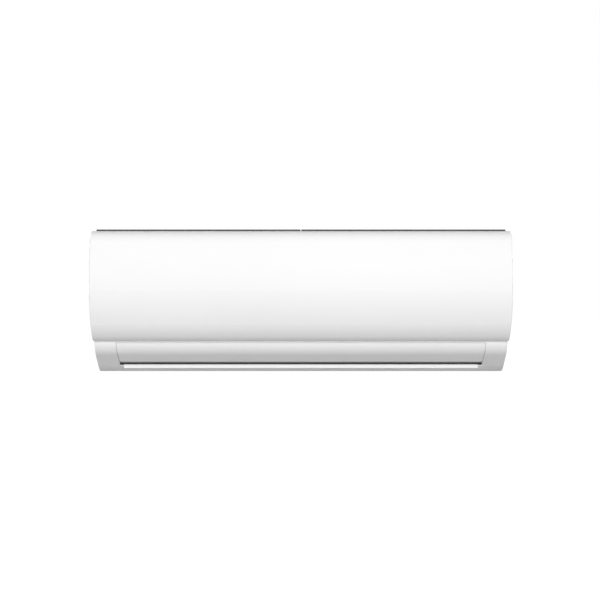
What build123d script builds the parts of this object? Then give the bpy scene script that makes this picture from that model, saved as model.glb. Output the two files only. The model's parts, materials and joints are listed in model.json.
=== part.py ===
from build123d import *
import os
from math import asin, cos, degrees, floor, hypot, radians, sin, sqrt, tan

# Wall-mounted mini split indoor unit, in millimetres.
# Frame: +X to the right seen from the front, +Y into the wall, +Z up.
# Origin: on the wall, the plane of the mounting plate's back, at the unit's mid-width and mid-height.
# Sections are drawn with at(depth out from the wall, height above the lower edge).

os.makedirs("parts", exist_ok=True)

# Overall
WIDTH = 850.0
HEIGHT = 298.0
DEPTH = 205.0

# Clearances
SEAM = 1.0
RUNNING = 0.06
SEAT = 0.3
LOOSE = 0.15

# Front panel line: arcs that run down and up from its front-most point
NOSE_HEIGHT = 176.0
BELLY_RADIUS, BELLY_SWEEP = 175.5, 23.9
CHIN_RADIUS, CHIN_SWEEP = 88.4, 20.7
CURL_RADIUS, CURL_SWEEP = 43.0, 21.0
BROW_SETBACK = 14.66
ROLL_RADIUS = 26.9
PANEL_DROP = 3.55
PANEL_TOP_SETBACK = 49.0
PANEL_TOP_DEPTH = DEPTH - PANEL_TOP_SETBACK
PANEL_THICKNESS = 2.5
PANEL_FLANGE = 18.0
PANEL_EDGE_RADIUS = 2.0
PANEL_CORNER_RADIUS = 3.5
PANEL_GAP = 3.0
ROLL_HEIGHT = HEIGHT - PANEL_DROP - ROLL_RADIUS
BROW_RISE = ROLL_HEIGHT - NOSE_HEIGHT
BROW_RADIUS = ROLL_RADIUS + (BROW_RISE ** 2 + BROW_SETBACK ** 2) / (2 * BROW_SETBACK)
BROW_SWEEP = degrees(asin(BROW_RISE / (BROW_RADIUS - ROLL_RADIUS)))

# Panel hinge and latches
HINGE_SETBACK, HINGE_DROP = 48.0, 14.0
HINGE_DEPTH, HINGE_HEIGHT = DEPTH - HINGE_SETBACK, HEIGHT - HINGE_DROP
HINGE_PIN_RADIUS = 3.0
HINGE_PIN_LENGTH = 8.0
HINGE_ARM_RADIUS = 6.0
HINGE_ARM_WIDTH = 4.0
HINGE_INSET = 27.0
HINGE_X = WIDTH / 2 - HINGE_INSET
HINGE_MID_X = 60.0
EAR_WIDTH = 5.0
EAR_STARTS = (
    HINGE_X + HINGE_ARM_WIDTH + SEAM,
    -HINGE_X - HINGE_ARM_WIDTH - SEAM - EAR_WIDTH,
    HINGE_MID_X + HINGE_ARM_WIDTH + SEAM,
    -HINGE_MID_X - HINGE_ARM_WIDTH - SEAM - EAR_WIDTH,
)
LATCH_X = 250.0
LATCH_HEIGHT = 90.0
LATCH_WIDTH, LATCH_THICKNESS = 8.0, 3.0
LATCH_REACH = 11.0

# Filters, in a recess of the casing's top
FILTER_THICKNESS = 7.0
FILTER_INSET = 7.0
FILTER_INNER_X, FILTER_OUTER_X = 1.0, WIDTH / 2 - FILTER_INSET
FILTER_BACK, FILTER_SETBACK = 14.0, 60.0
FILTER_FRONT = DEPTH - FILTER_SETBACK
FILTER_BAR = 6.0
FILTER_RIB = 2.0
FILTER_COLUMNS, FILTER_ROWS = 9, 3
NET_SPACE = 0.9
DECK_HEIGHT = HEIGHT - FILTER_THICKNESS

# Casing
CASE_INSET = 2.3
CASE_WALL = 2.5
CASE_BACK = 2.0
CASE_DROP = 3.0
CASE_TOP = HEIGHT - CASE_DROP
REBATE_SETBACK, REBATE_DROP = 59.0, 26.0
REBATE_DEPTH, REBATE_HEIGHT = DEPTH - REBATE_SETBACK, HEIGHT - REBATE_DROP
LOWER_DEPTH, LOWER_HEIGHT = 157.0, 70.0
LOWER_HEADING = 8.0
LOWER_RADIUS, LOWER_SWEEP = 45.4, 44.5
LOWER_STRAIGHT = 42.62
SKIRT_RADIUS, SKIRT_SWEEP = 89.5, 20.0
GRID_PITCH_X, GRID_PITCH_Y, GRID_BAR = 46.0, 41.0, 3.0
GRID_COLUMNS = floor((2 * FILTER_OUTER_X - GRID_BAR) / GRID_PITCH_X)
GRID_ROWS = floor((FILTER_FRONT - FILTER_BACK - GRID_BAR) / GRID_PITCH_Y)
LIP_DEPTH, LIP_LOW, LIP_HIGH = 106.0, 9.5, 17.0
LIP_WALL = 4.0
SIDE_OUTLET_DEPTH, SIDE_OUTLET_LOW, SIDE_OUTLET_HIGH = 44.0, 6.0, 60.0

# Air path, between the motor on its right and the drain on its left
FAN_DEPTH, FAN_HEIGHT = 93.0, 130.0
FAN_RADIUS = 46.0
FAN_BLADES = 28
FAN_SECTIONS = 7
DISC_THICKNESS = 2.0
SHAFT_RADIUS = 4.0
SCROLL_GAP = 6.0
SCROLL_ANGLE = 42.0
SCROLL_RADIUS = 103.0
MOUTH_DEPTH, MOUTH_HEIGHT = 106.0, 18.0
MOUTH_TRIM = 4.5
APRON_LENGTH = 32.0
AIR_INSET_LEFT, AIR_INSET_RIGHT = 53.0, 122.5
AIR_LEFT, AIR_RIGHT = AIR_INSET_LEFT - WIDTH / 2, WIDTH / 2 - AIR_INSET_RIGHT
FAN_SIDE_GAP = 10.0
FAN_LEFT, FAN_RIGHT = AIR_LEFT + FAN_SIDE_GAP, AIR_RIGHT - FAN_SIDE_GAP
WALL = 2.5
APRON_INSET = 33.0
APRON_X = WIDTH / 2 - APRON_INSET
SCROLL_RIBS = 6
LEDGE_DEPTH, LEDGE_HEIGHT = 70.0, 6.3

# Back wall and pipe channel
BACK_DEPTH = 1.5
CHANNEL_DEPTH = 48.0
CHANNEL_HEIGHT = 64.0

# Louver
LOUVER_INSET, LOUVER_TAPER = 46.8, 2.4
LOUVER_TOP_X = WIDTH / 2 - LOUVER_INSET
LOUVER_LOW_X = LOUVER_TOP_X - LOUVER_TAPER
LOUVER_TOP_HEADING = 13.0
LOUVER_STRAIGHT = 27.0
LOUVER_SHELL = 2.5
LOUVER_CORNER = 3.0
LOUVER_SHARE = 0.3
LOUVER_SETBACK = 12.0
LOUVER_ARM = 4.0
LOUVER_PIN_RADIUS = 3.0
LOUVER_SWEEP_RADIUS = 24.0
LOUVER_SEAM = 0.6
GAP_BELOW_LOUVER = 15.5
LIP_INSET = 6.8
LIP_X = LOUVER_LOW_X - LIP_INSET
BEARING_X = LOUVER_TOP_X + 3.8
BEARING_WIDTH = 4.0
BEARING_RADIUS = 7.0
RIB_WIDTH, RIB_HEIGHT = 1.5, 3.0
RIB_HEADINGS = (24.0, 45.0)
ARM_RADIUS = 5.5
HANGER_WIDTH = 4.0
STEPPER_RADIUS, STEPPER_LENGTH, STEPPER_OFFSET = 14.0, 19.0, 8.0
STEPPER_EAR = 19.0
STEPPER_BORE = 12.0

# Vertical vanes
VANES_PER_GROUP = 6
VANE_SIDE_GAP = 40.25
VANE_PITCH = ((AIR_RIGHT - AIR_LEFT) / 2 - VANE_SIDE_GAP) / (VANES_PER_GROUP - 0.5)
VANE_THICKNESS = 2.0
VANE_PIVOT = 47.0
VANE_HALF = 13.0
VANE_HEIGHT = 46.5
VANE_PIN_RADIUS = 2.5
VANE_LIFT = 1.0
VANE_FOOT_RADIUS, VANE_FOOT = 5.0, 1.2
VANE_MIDDLE = (AIR_LEFT + AIR_RIGHT) / 2
VANE_XS = [VANE_MIDDLE + (i - VANES_PER_GROUP + 0.5) * VANE_PITCH for i in range(2 * VANES_PER_GROUP)]
MID_ARM_X = VANE_MIDDLE + HANGER_WIDTH / 2 + SEAM
NOTCH_DEPTH, NOTCH_HEIGHT = 9.0, 5.5
ROD_OFFSET = 9.0
ROD_LEVEL = 38.5
ROD_THICKNESS = 3.0
ROD_WIDTH = 5.0
ROD_PIN_RADIUS = 1.2
ROD_PLAY = 0.1
TAB_SIZE = 10.0

# Evaporator: slabs from their lower to their upper end, the rear one from its upper to its lower end
COIL_END_GAP = 6.0
COIL_LEFT, COIL_RIGHT = AIR_LEFT + COIL_END_GAP, AIR_RIGHT - COIL_END_GAP
COIL_THICKNESS = 22.0
COIL_DROP = 34.0
COIL_TOP = HEIGHT - COIL_DROP
FRONT_SLAB_DEPTH, FRONT_SLAB_LOW, FRONT_SLAB_DROP = 148.0, 110.0, 58.0
UPPER_SLAB_FRONT, UPPER_SLAB_BACK, UPPER_SLAB_FALL = 146.0, 95.0, 51.0
REAR_SLAB_FRONT, REAR_SLAB_BACK, REAR_SLAB_FALL = 84.0, 34.0, 56.0
COIL_SLABS = {
    "front_lower": ((FRONT_SLAB_DEPTH, FRONT_SLAB_LOW), (FRONT_SLAB_DEPTH, COIL_TOP - FRONT_SLAB_DROP)),
    "front_upper": ((UPPER_SLAB_FRONT, COIL_TOP - UPPER_SLAB_FALL), (UPPER_SLAB_BACK, COIL_TOP)),
    "rear": ((REAR_SLAB_FRONT, COIL_TOP), (REAR_SLAB_BACK, COIL_TOP - REAR_SLAB_FALL)),
}
TUBE_RADIUS = 3.5
TUBE_WALL = 0.5
TUBE_PITCH = 21.0
TUBE_MARGIN = 8.0
TUBE_ROWS = (5.5, 16.5)
TUBE_REACH = 6.0
PLATE_THICKNESS = 1.5
PLATE_EDGE = 2.0
TROUGH_GAP, TROUGH_DEPTH = 12.0, 10.0
TROUGH_HEIGHT = COIL_TOP - REAR_SLAB_FALL - TROUGH_GAP
SCROLL_TOP = TROUGH_HEIGHT + TROUGH_DEPTH
TROUGH_OVERHANG = 16.0

# Drain pan
PAN_INSET, PAN_OVERHANG = 17.0, 15.5
PAN_LEFT, PAN_RIGHT = PAN_INSET - WIDTH / 2, AIR_RIGHT + PAN_OVERHANG
PAN_BACK, PAN_FRONT = 143.0, 174.0
PAN_BOTTOM, PAN_TOP = 97.0, 112.0
PAN_WALL = 2.0
SPIGOT_RADIUS = 8.0
SPIGOT_BORE = 6.0
SPIGOT_LENGTH = 25.0
SPIGOT_X = PAN_LEFT + 12.0
HOSE_HOLE_RADIUS = 16.0
PLUG_RADIUS = 5.0
TONGUE_GAP, TONGUE_ANGLE = 5.1, 40.0

# Fan bearing and motor
GROMMET_RADIUS, GROMMET_FLANGE, GROMMET_LIP = 16.0, 19.0, 3.0
BEARING_OUTER = 9.0
HUB_RADIUS, HUB_LENGTH = 11.0, 14.0
MOTOR_GAP, MOTOR_LENGTH = 5.5, 50.0
MOTOR_LEFT = AIR_RIGHT + MOTOR_GAP
MOTOR_RIGHT = MOTOR_LEFT + MOTOR_LENGTH
MOTOR_RADIUS = 44.0
MOTOR_BOSS_RADIUS, MOTOR_BOSS_LENGTH = 12.0, 4.0
MOTOR_RING_RADIUS = 15.0
MOTOR_HOLE_RADIUS = 14.0
CRADLE_SETBACK = 4.0
CRADLE_RIBS = (MOTOR_LEFT + CRADLE_SETBACK, MOTOR_RIGHT - 2 * CRADLE_SETBACK)
CRADLE_HALF = 55.0
CLAMP_SHEET = 2.5
CLAMP_SCREW = 51.5
CLAMP_X = MOTOR_LEFT + 24.0

# Refrigerant pipes
PIPE_DEPTH = 26.0
PIPE_HOLE_WIDTH, PIPE_HOLE_DEPTH = 42.0, 24.0
LIQUID_RADIUS, GAS_RADIUS = 3.175, 4.76
PIPE_WALL = 0.8
PIPE_BEND = 12.0
LIQUID_X, GAS_X, JUMPER_X = MOTOR_LEFT + 17.0, MOTOR_LEFT + 30.0, MOTOR_LEFT + 18.0
LIQUID_LEVEL, GAS_LEVEL = 42.0, 20.0
LIQUID_END, GAS_END = -120.0, -40.0
PASS_HEIGHT = 70.0
UNION_SLEEVE, UNION_HEX, UNION_THREAD = 8.0, 12.0, 14.0
UNION_WALL = 2.0
LIQUID_THREAD, GAS_THREAD = 5.556, 7.938
LIQUID_FLATS, GAS_FLATS = 17.0, 22.0
CLIP_X, CLIP_WIDTH = 100.0, 12.0

# Control box
BOX_INSET_LEFT, BOX_INSET_RIGHT = 58.0, 11.0
BOX_LEFT, BOX_RIGHT = WIDTH / 2 - BOX_INSET_LEFT, WIDTH / 2 - BOX_INSET_RIGHT
BOX_BACK, BOX_FRONT = 62.0, 172.0
BOX_DROP = 36.0
BOX_BOTTOM, BOX_TOP = 104.0, HEIGHT - BOX_DROP
BOX_WALL = 2.0
BOX_SPLIT = 150.0
BOX_BRACKETS = ((126.0, 144.0), (226.0, 246.0))
BOX_HOLE_RADIUS = 7.0
CORD_NOTCH_X, CORD_NOTCH_HEIGHT = 20.0, 18.0
CORD_CLAMP_DEPTH, CORD_CLAMP_HEIGHT = 100.0, 12.0
COVER_GAP = 0.3
BOARD_THICKNESS = 1.6
BOARD_LIFT = 2.0
BOARD_INSET = 6.0
BOARD_BACK, BOARD_FRONT = 70.0, 168.0
BOARD_LOW, BOARD_HIGH = BOX_SPLIT + BOARD_INSET, BOX_TOP - BOARD_INSET
BLOCK_BACK, BLOCK_FRONT = 128.0, 160.0
BLOCK_LEFT, BLOCK_RIGHT = BOX_LEFT + 7.0, BOX_RIGHT - 6.0
BLOCK_HIGH = 126.0
BLOCK_WAYS = 4

# Display board and manual button
DISPLAY_FRONT = 186.0
DISPLAY_LOW, DISPLAY_HIGH = 196.0, 236.0
DISPLAY_INSET_LEFT, DISPLAY_INSET_RIGHT = 73.0, 13.0
DISPLAY_LEFT, DISPLAY_RIGHT = WIDTH / 2 - DISPLAY_INSET_LEFT, WIDTH / 2 - DISPLAY_INSET_RIGHT
DISPLAY_BOSS_RADIUS = 3.0
DISPLAY_BOSSES = ((DISPLAY_LEFT + 5, DISPLAY_LOW + 5), (DISPLAY_RIGHT - 3, DISPLAY_HIGH - 5))
SWITCH_SIZE, SWITCH_TOP = 6.0, 3.8
BUTTON_X, BUTTON_HEIGHT = DISPLAY_LEFT + 8.0, 216.0
BUTTON_RADIUS = 4.0
BUTTON_SINK, BUTTON_TRAVEL = 1.2, 1.2
BUTTON_FLANGE_RADIUS, BUTTON_FLANGE = 6.0, 1.5

# Windows behind the panel: a row for the coil, and one beside the manual button
SERVICE_LOW, SERVICE_HIGH = 118.0, REBATE_HEIGHT - 14.0
SERVICE_INSET, SERVICE_MULLION = 29.0, 8.0
SERVICE_COLUMNS = 3
SERVICE_PITCH = (DISPLAY_LEFT + WIDTH / 2 - SERVICE_INSET + SERVICE_MULLION) / SERVICE_COLUMNS
SERVICE_WINDOWS = [
    (SERVICE_INSET - WIDTH / 2 + i * SERVICE_PITCH,
     SERVICE_INSET - WIDTH / 2 + (i + 1) * SERVICE_PITCH - SERVICE_MULLION)
    for i in range(SERVICE_COLUMNS)
]
SERVICE_WINDOWS.append((BUTTON_X + 2 * BUTTON_RADIUS, DISPLAY_RIGHT - SERVICE_MULLION))
SERVICE_CORNER = 6.0

# Sensors
SENSOR_RADIUS, COIL_SENSOR_RADIUS = 2.5, 2.8
SENSOR_LENGTH = 20.0
ROOM_SENSOR_DEPTH, ROOM_SENSOR_HEIGHT = 155.0, 201.0

# Mounting plate
PLATE_X = 260.0
PLATE_DROP = 23.0
PLATE_LOW, PLATE_HIGH = 85.0, HEIGHT - PLATE_DROP
PLATE_SLOT_LENGTH, PLATE_SLOT_WIDTH = 66.0, 10.0
PLATE_SLOT_PITCH_X, PLATE_SLOT_PITCH_Z = 90.0, 80.0
PLATE_SLOT_COLUMNS = 3
SHEET = 1.2
HOOK_X = 180.0
HOOK_WIDTH = 30.0
HOOK_HEIGHT = PLATE_HIGH - 13.0
HOOK_LIP = 8.0
SCREW_SPACING_X, SCREW_SPACING_Z = 440.0, 140.0
WALL_SCREW_RADIUS = 2.75

# Screws and their seats
SCREW_RADIUS, SCREW_HEAD_RADIUS, SCREW_HEAD = 1.75, 3.5, 2.0
SCREW_LENGTH = 10.0
BOTTOM_SCREWS = (-300.0, 0.0, 300.0)
BOTTOM_SCREW_DEPTH = 60.0
PAD_RADIUS, PAD_SINK = 6.0, 3.0
WALL_SETBACK = 8.0


def at(depth, height):
    """Point of a section sketch: depth out from the wall, height above the lower edge."""
    return (-depth, height - HEIGHT / 2)


def space(x, depth, height):
    """The same point in the unit's own frame, at a place along its width."""
    return (x, -depth, height - HEIGHT / 2)


def section(x):
    """Sketch plane across the unit at x."""
    return Plane.YZ.offset(x)


def front(depth):
    """Sketch plane that faces the front, depth out from the wall; its points are (x, height)."""
    return Plane(origin=(0, -depth, -HEIGHT / 2), x_dir=(1, 0, 0), z_dir=(0, -1, 0))


def level(height):
    """Horizontal sketch plane; its points are (x, -depth)."""
    return Plane.XY.offset(height - HEIGHT / 2)


def mirrored(x):
    return (-x, x)


# Frames of the air path: the straight lower wall, the louver and the coil slabs
DUCT = Plane(
    origin=space(0, MOUTH_DEPTH, MOUTH_HEIGHT),
    x_dir=(1, 0, 0),
    z_dir=(0, -cos(radians(SCROLL_ANGLE)), sin(radians(SCROLL_ANGLE))),
)


def duct_point(upstream, rise):
    """Section point given along the duct's lower wall, from its mouth, and square to it."""
    a = radians(SCROLL_ANGLE)
    depth = MOUTH_DEPTH - upstream * sin(a) + rise * cos(a)
    return (depth, MOUTH_HEIGHT + upstream * cos(a) + rise * sin(a))


def lower_point(heading, inset=0.0):
    """Point of the casing's lower arc where it heads that many degrees off straight down."""
    radius = LOWER_RADIUS - inset
    depth = LOWER_DEPTH - LOWER_RADIUS * cos(radians(LOWER_HEADING)) + radius * cos(radians(heading))
    height = LOWER_HEIGHT + LOWER_RADIUS * sin(radians(LOWER_HEADING)) - radius * sin(radians(heading))
    return (depth, height)


LOWER_END = LOWER_HEADING + LOWER_SWEEP
LOUVER_TOP = lower_point(LOUVER_TOP_HEADING)
LOUVER_LOW = (
    lower_point(LOWER_END)[0] - LOUVER_STRAIGHT * sin(radians(LOWER_END)),
    lower_point(LOWER_END)[1] - LOUVER_STRAIGHT * cos(radians(LOWER_END)),
)
LOUVER_CHORD = hypot(LOUVER_TOP[0] - LOUVER_LOW[0], LOUVER_TOP[1] - LOUVER_LOW[1])
CHORD_D = (LOUVER_TOP[0] - LOUVER_LOW[0]) / LOUVER_CHORD
CHORD_H = (LOUVER_TOP[1] - LOUVER_LOW[1]) / LOUVER_CHORD


def louver_point(along, inside):
    """Section point along the louver's chord from its lower edge, and inside of it."""
    depth = LOUVER_LOW[0] + along * CHORD_D - inside * CHORD_H
    return (depth, LOUVER_LOW[1] + along * CHORD_H + inside * CHORD_D)


heading_end = radians(LOWER_END + SKIRT_SWEEP)
skirt_end = (
    lower_point(LOWER_END)[0] - LOWER_STRAIGHT * sin(radians(LOWER_END))
    - SKIRT_RADIUS * (cos(radians(LOWER_END)) - cos(heading_end)),
    lower_point(LOWER_END)[1] - LOWER_STRAIGHT * cos(radians(LOWER_END))
    - SKIRT_RADIUS * (sin(heading_end) - sin(radians(LOWER_END))),
)
PIVOT = louver_point(LOUVER_SHARE * LOUVER_CHORD, LOUVER_SETBACK)
LOUVER_FACE = Plane(
    origin=space(0, *louver_point(LOUVER_CHORD / 2, 0)),
    x_dir=(1, 0, 0),
    z_dir=(0, -CHORD_H, -CHORD_D),
)


def slab_plane(start, end, x):
    """Plane across a coil slab: local x runs along the slab, local y out of its fan side."""
    direction = (0, start[0] - end[0], end[1] - start[1])
    return Plane(origin=space(x, *start), x_dir=direction, z_dir=(1, 0, 0))


def slab_length(start, end):
    return hypot(end[0] - start[0], end[1] - start[1])


# Lines and faces that more than one piece uses

def front_curve(inset, top):
    """Panel line moved inwards by inset, up to a height; returns its lower and upper ends."""
    nose = at(DEPTH - inset, NOSE_HEIGHT)
    belly = JernArc(nose, (0, -1), BELLY_RADIUS - inset, BELLY_SWEEP)
    chin = JernArc(belly @ 1, belly % 1, CHIN_RADIUS - inset, CHIN_SWEEP)
    curl = JernArc(chin @ 1, chin % 1, CURL_RADIUS - inset, CURL_SWEEP)
    sweep = degrees(asin((top - NOSE_HEIGHT) / (BROW_RADIUS - inset)))
    brow = JernArc(nose, (0, 1), BROW_RADIUS - inset, -sweep)
    return curl @ 1, brow @ 1


def panel_curve(inset):
    """Whole panel line moved inwards by inset; returns its lower and upper ends."""
    rise = (BROW_RADIUS - inset) * sin(radians(BROW_SWEEP))
    low, high = front_curve(inset, NOSE_HEIGHT + rise)
    roll = JernArc(high, (sin(radians(BROW_SWEEP)), cos(radians(BROW_SWEEP))),
                   ROLL_RADIUS - inset, BROW_SWEEP - 90)
    back = Line(roll @ 1, (-PANEL_TOP_DEPTH, (roll @ 1).Y))
    return low, back @ 1


def panel_band(outer, inner):
    """Face between the panel line at two insets."""
    with BuildSketch() as band:
        with BuildLine():
            low_outer, high_outer = panel_curve(outer)
            low_inner, high_inner = panel_curve(inner)
            Line(low_outer, low_inner)
            Line(high_outer, high_inner)
        make_face()
    return band.sketch


def brow_depth(height, inset):
    """Depth of the panel line moved inwards by inset, at a height above its front-most point."""
    return DEPTH - BROW_RADIUS + sqrt((BROW_RADIUS - inset) ** 2 - (height - NOSE_HEIGHT) ** 2)


def lower_curve(inset, heading, straight):
    """Casing's lower line from a heading down to the end of its straight; returns its ends."""
    a = radians(heading)
    start = at(*lower_point(heading, inset))
    arc = JernArc(start, (sin(a), -cos(a)), LOWER_RADIUS - inset, LOWER_END - heading)
    run = Line(arc @ 1, arc @ 1 + (arc % 1) * straight)
    return arc @ 0, run @ 1, run % 1


def case_face(wall):
    """Side profile of the casing, moved inwards by wall."""
    top = CASE_TOP if wall == 0 else DECK_HEIGHT - wall
    back = CASE_BACK - wall
    step = REBATE_HEIGHT - wall
    with BuildSketch() as profile:
        with BuildLine():
            front_low, front_high = front_curve(PANEL_THICKNESS + PANEL_GAP + wall, step)
            lower_top, lower_end, heading = lower_curve(wall, LOWER_HEADING, LOWER_STRAIGHT)
            Line(front_low, lower_top)
            skirt = JernArc(lower_end, heading, SKIRT_RADIUS - wall, SKIRT_SWEEP)
            Polyline(
                skirt @ 1,
                (-back, (skirt @ 1).Y),
                at(back, top),
                at(REBATE_DEPTH - wall, top),
                at(REBATE_DEPTH - wall, step),
                front_high,
            )
        make_face()
    return profile.sketch


def louver_outline(grow, lower):
    """Trapezoid of the louver seen square to its chord, grown sideways and up, and lower down."""
    half = LOUVER_CHORD / 2
    Polygon(
        (LOUVER_TOP_X + grow, half + grow),
        (-LOUVER_TOP_X - grow, half + grow),
        (-LOUVER_LOW_X - grow, -half - lower),
        (LOUVER_LOW_X + grow, -half - lower),
        align=None,
    )


# Front panel: one curved shell with side flanges, four hinge arms and two latches

with BuildPart() as front_panel:
    with BuildSketch(section(-WIDTH / 2)):
        add(panel_band(0, PANEL_FLANGE))
    extrude(amount=WIDTH)
    ends = front_panel.edges().group_by(Axis.X)
    corners = [group.filter_by(GeomType.LINE).sort_by(Axis.Z)[:1] for group in (ends[0], ends[-1])]
    fillet(corners[0] + corners[1], PANEL_CORNER_RADIUS)
    radii = (BELLY_RADIUS, CHIN_RADIUS, CURL_RADIUS, BROW_RADIUS, ROLL_RADIUS)
    outer = front_panel.edges().filter_by(GeomType.CIRCLE)
    outer = outer.filter_by(lambda e: any(abs(e.radius - r) < 0.01 for r in radii))
    fillet(outer, PANEL_EDGE_RADIUS)
    with BuildSketch(section(-WIDTH / 2 + PANEL_THICKNESS)):
        add(panel_band(PANEL_THICKNESS, PANEL_FLANGE + 1))
    extrude(amount=WIDTH - 2 * PANEL_THICKNESS, mode=Mode.SUBTRACT)
    roll_depth = DEPTH - BROW_RADIUS * (1 - cos(radians(BROW_SWEEP)))
    roll_depth -= ROLL_RADIUS * cos(radians(BROW_SWEEP))
    mid_skin = ROLL_RADIUS - PANEL_THICKNESS / 2
    arm_starts = (-HINGE_X - HINGE_ARM_WIDTH, -HINGE_MID_X - HINGE_ARM_WIDTH, HINGE_MID_X, HINGE_X)
    for x in arm_starts:
        with BuildSketch(section(x)):
            with BuildLine():
                crown = CenterArc(at(roll_depth, ROLL_HEIGHT), mid_skin, 90, 60)
                Polyline(
                    crown @ 1,
                    at(HINGE_DEPTH + 24, HINGE_HEIGHT - HINGE_ARM_RADIUS - 1),
                    at(HINGE_DEPTH, HINGE_HEIGHT - HINGE_ARM_RADIUS),
                    at(HINGE_DEPTH, ROLL_HEIGHT + mid_skin),
                    crown @ 0,
                )
            make_face()
            with Locations(at(HINGE_DEPTH, HINGE_HEIGHT)):
                Circle(HINGE_ARM_RADIUS)
        extrude(amount=HINGE_ARM_WIDTH)
    for x, way in ((-HINGE_X, -1), (HINGE_X, 1), (-HINGE_MID_X, -1), (HINGE_MID_X, 1)):
        with BuildSketch(section(x)):
            with Locations(at(HINGE_DEPTH, HINGE_HEIGHT)):
                Circle(HINGE_PIN_RADIUS)
        extrude(amount=way * (HINGE_ARM_WIDTH + HINGE_PIN_LENGTH))
    for x in mirrored(LATCH_X):
        with BuildSketch(section(x - LATCH_WIDTH / 2)):
            add(panel_band(PANEL_THICKNESS / 2, LATCH_REACH))
            with Locations(at(DEPTH, LATCH_HEIGHT)):
                Rectangle(DEPTH, LATCH_THICKNESS, mode=Mode.INTERSECT)
        extrude(amount=LATCH_WIDTH)
front_panel.part.label = "front_panel"
export_step(front_panel.part, "parts/front_panel.step")

# Casing: one open-backed shell with the top grid, service windows and the louver's opening

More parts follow.
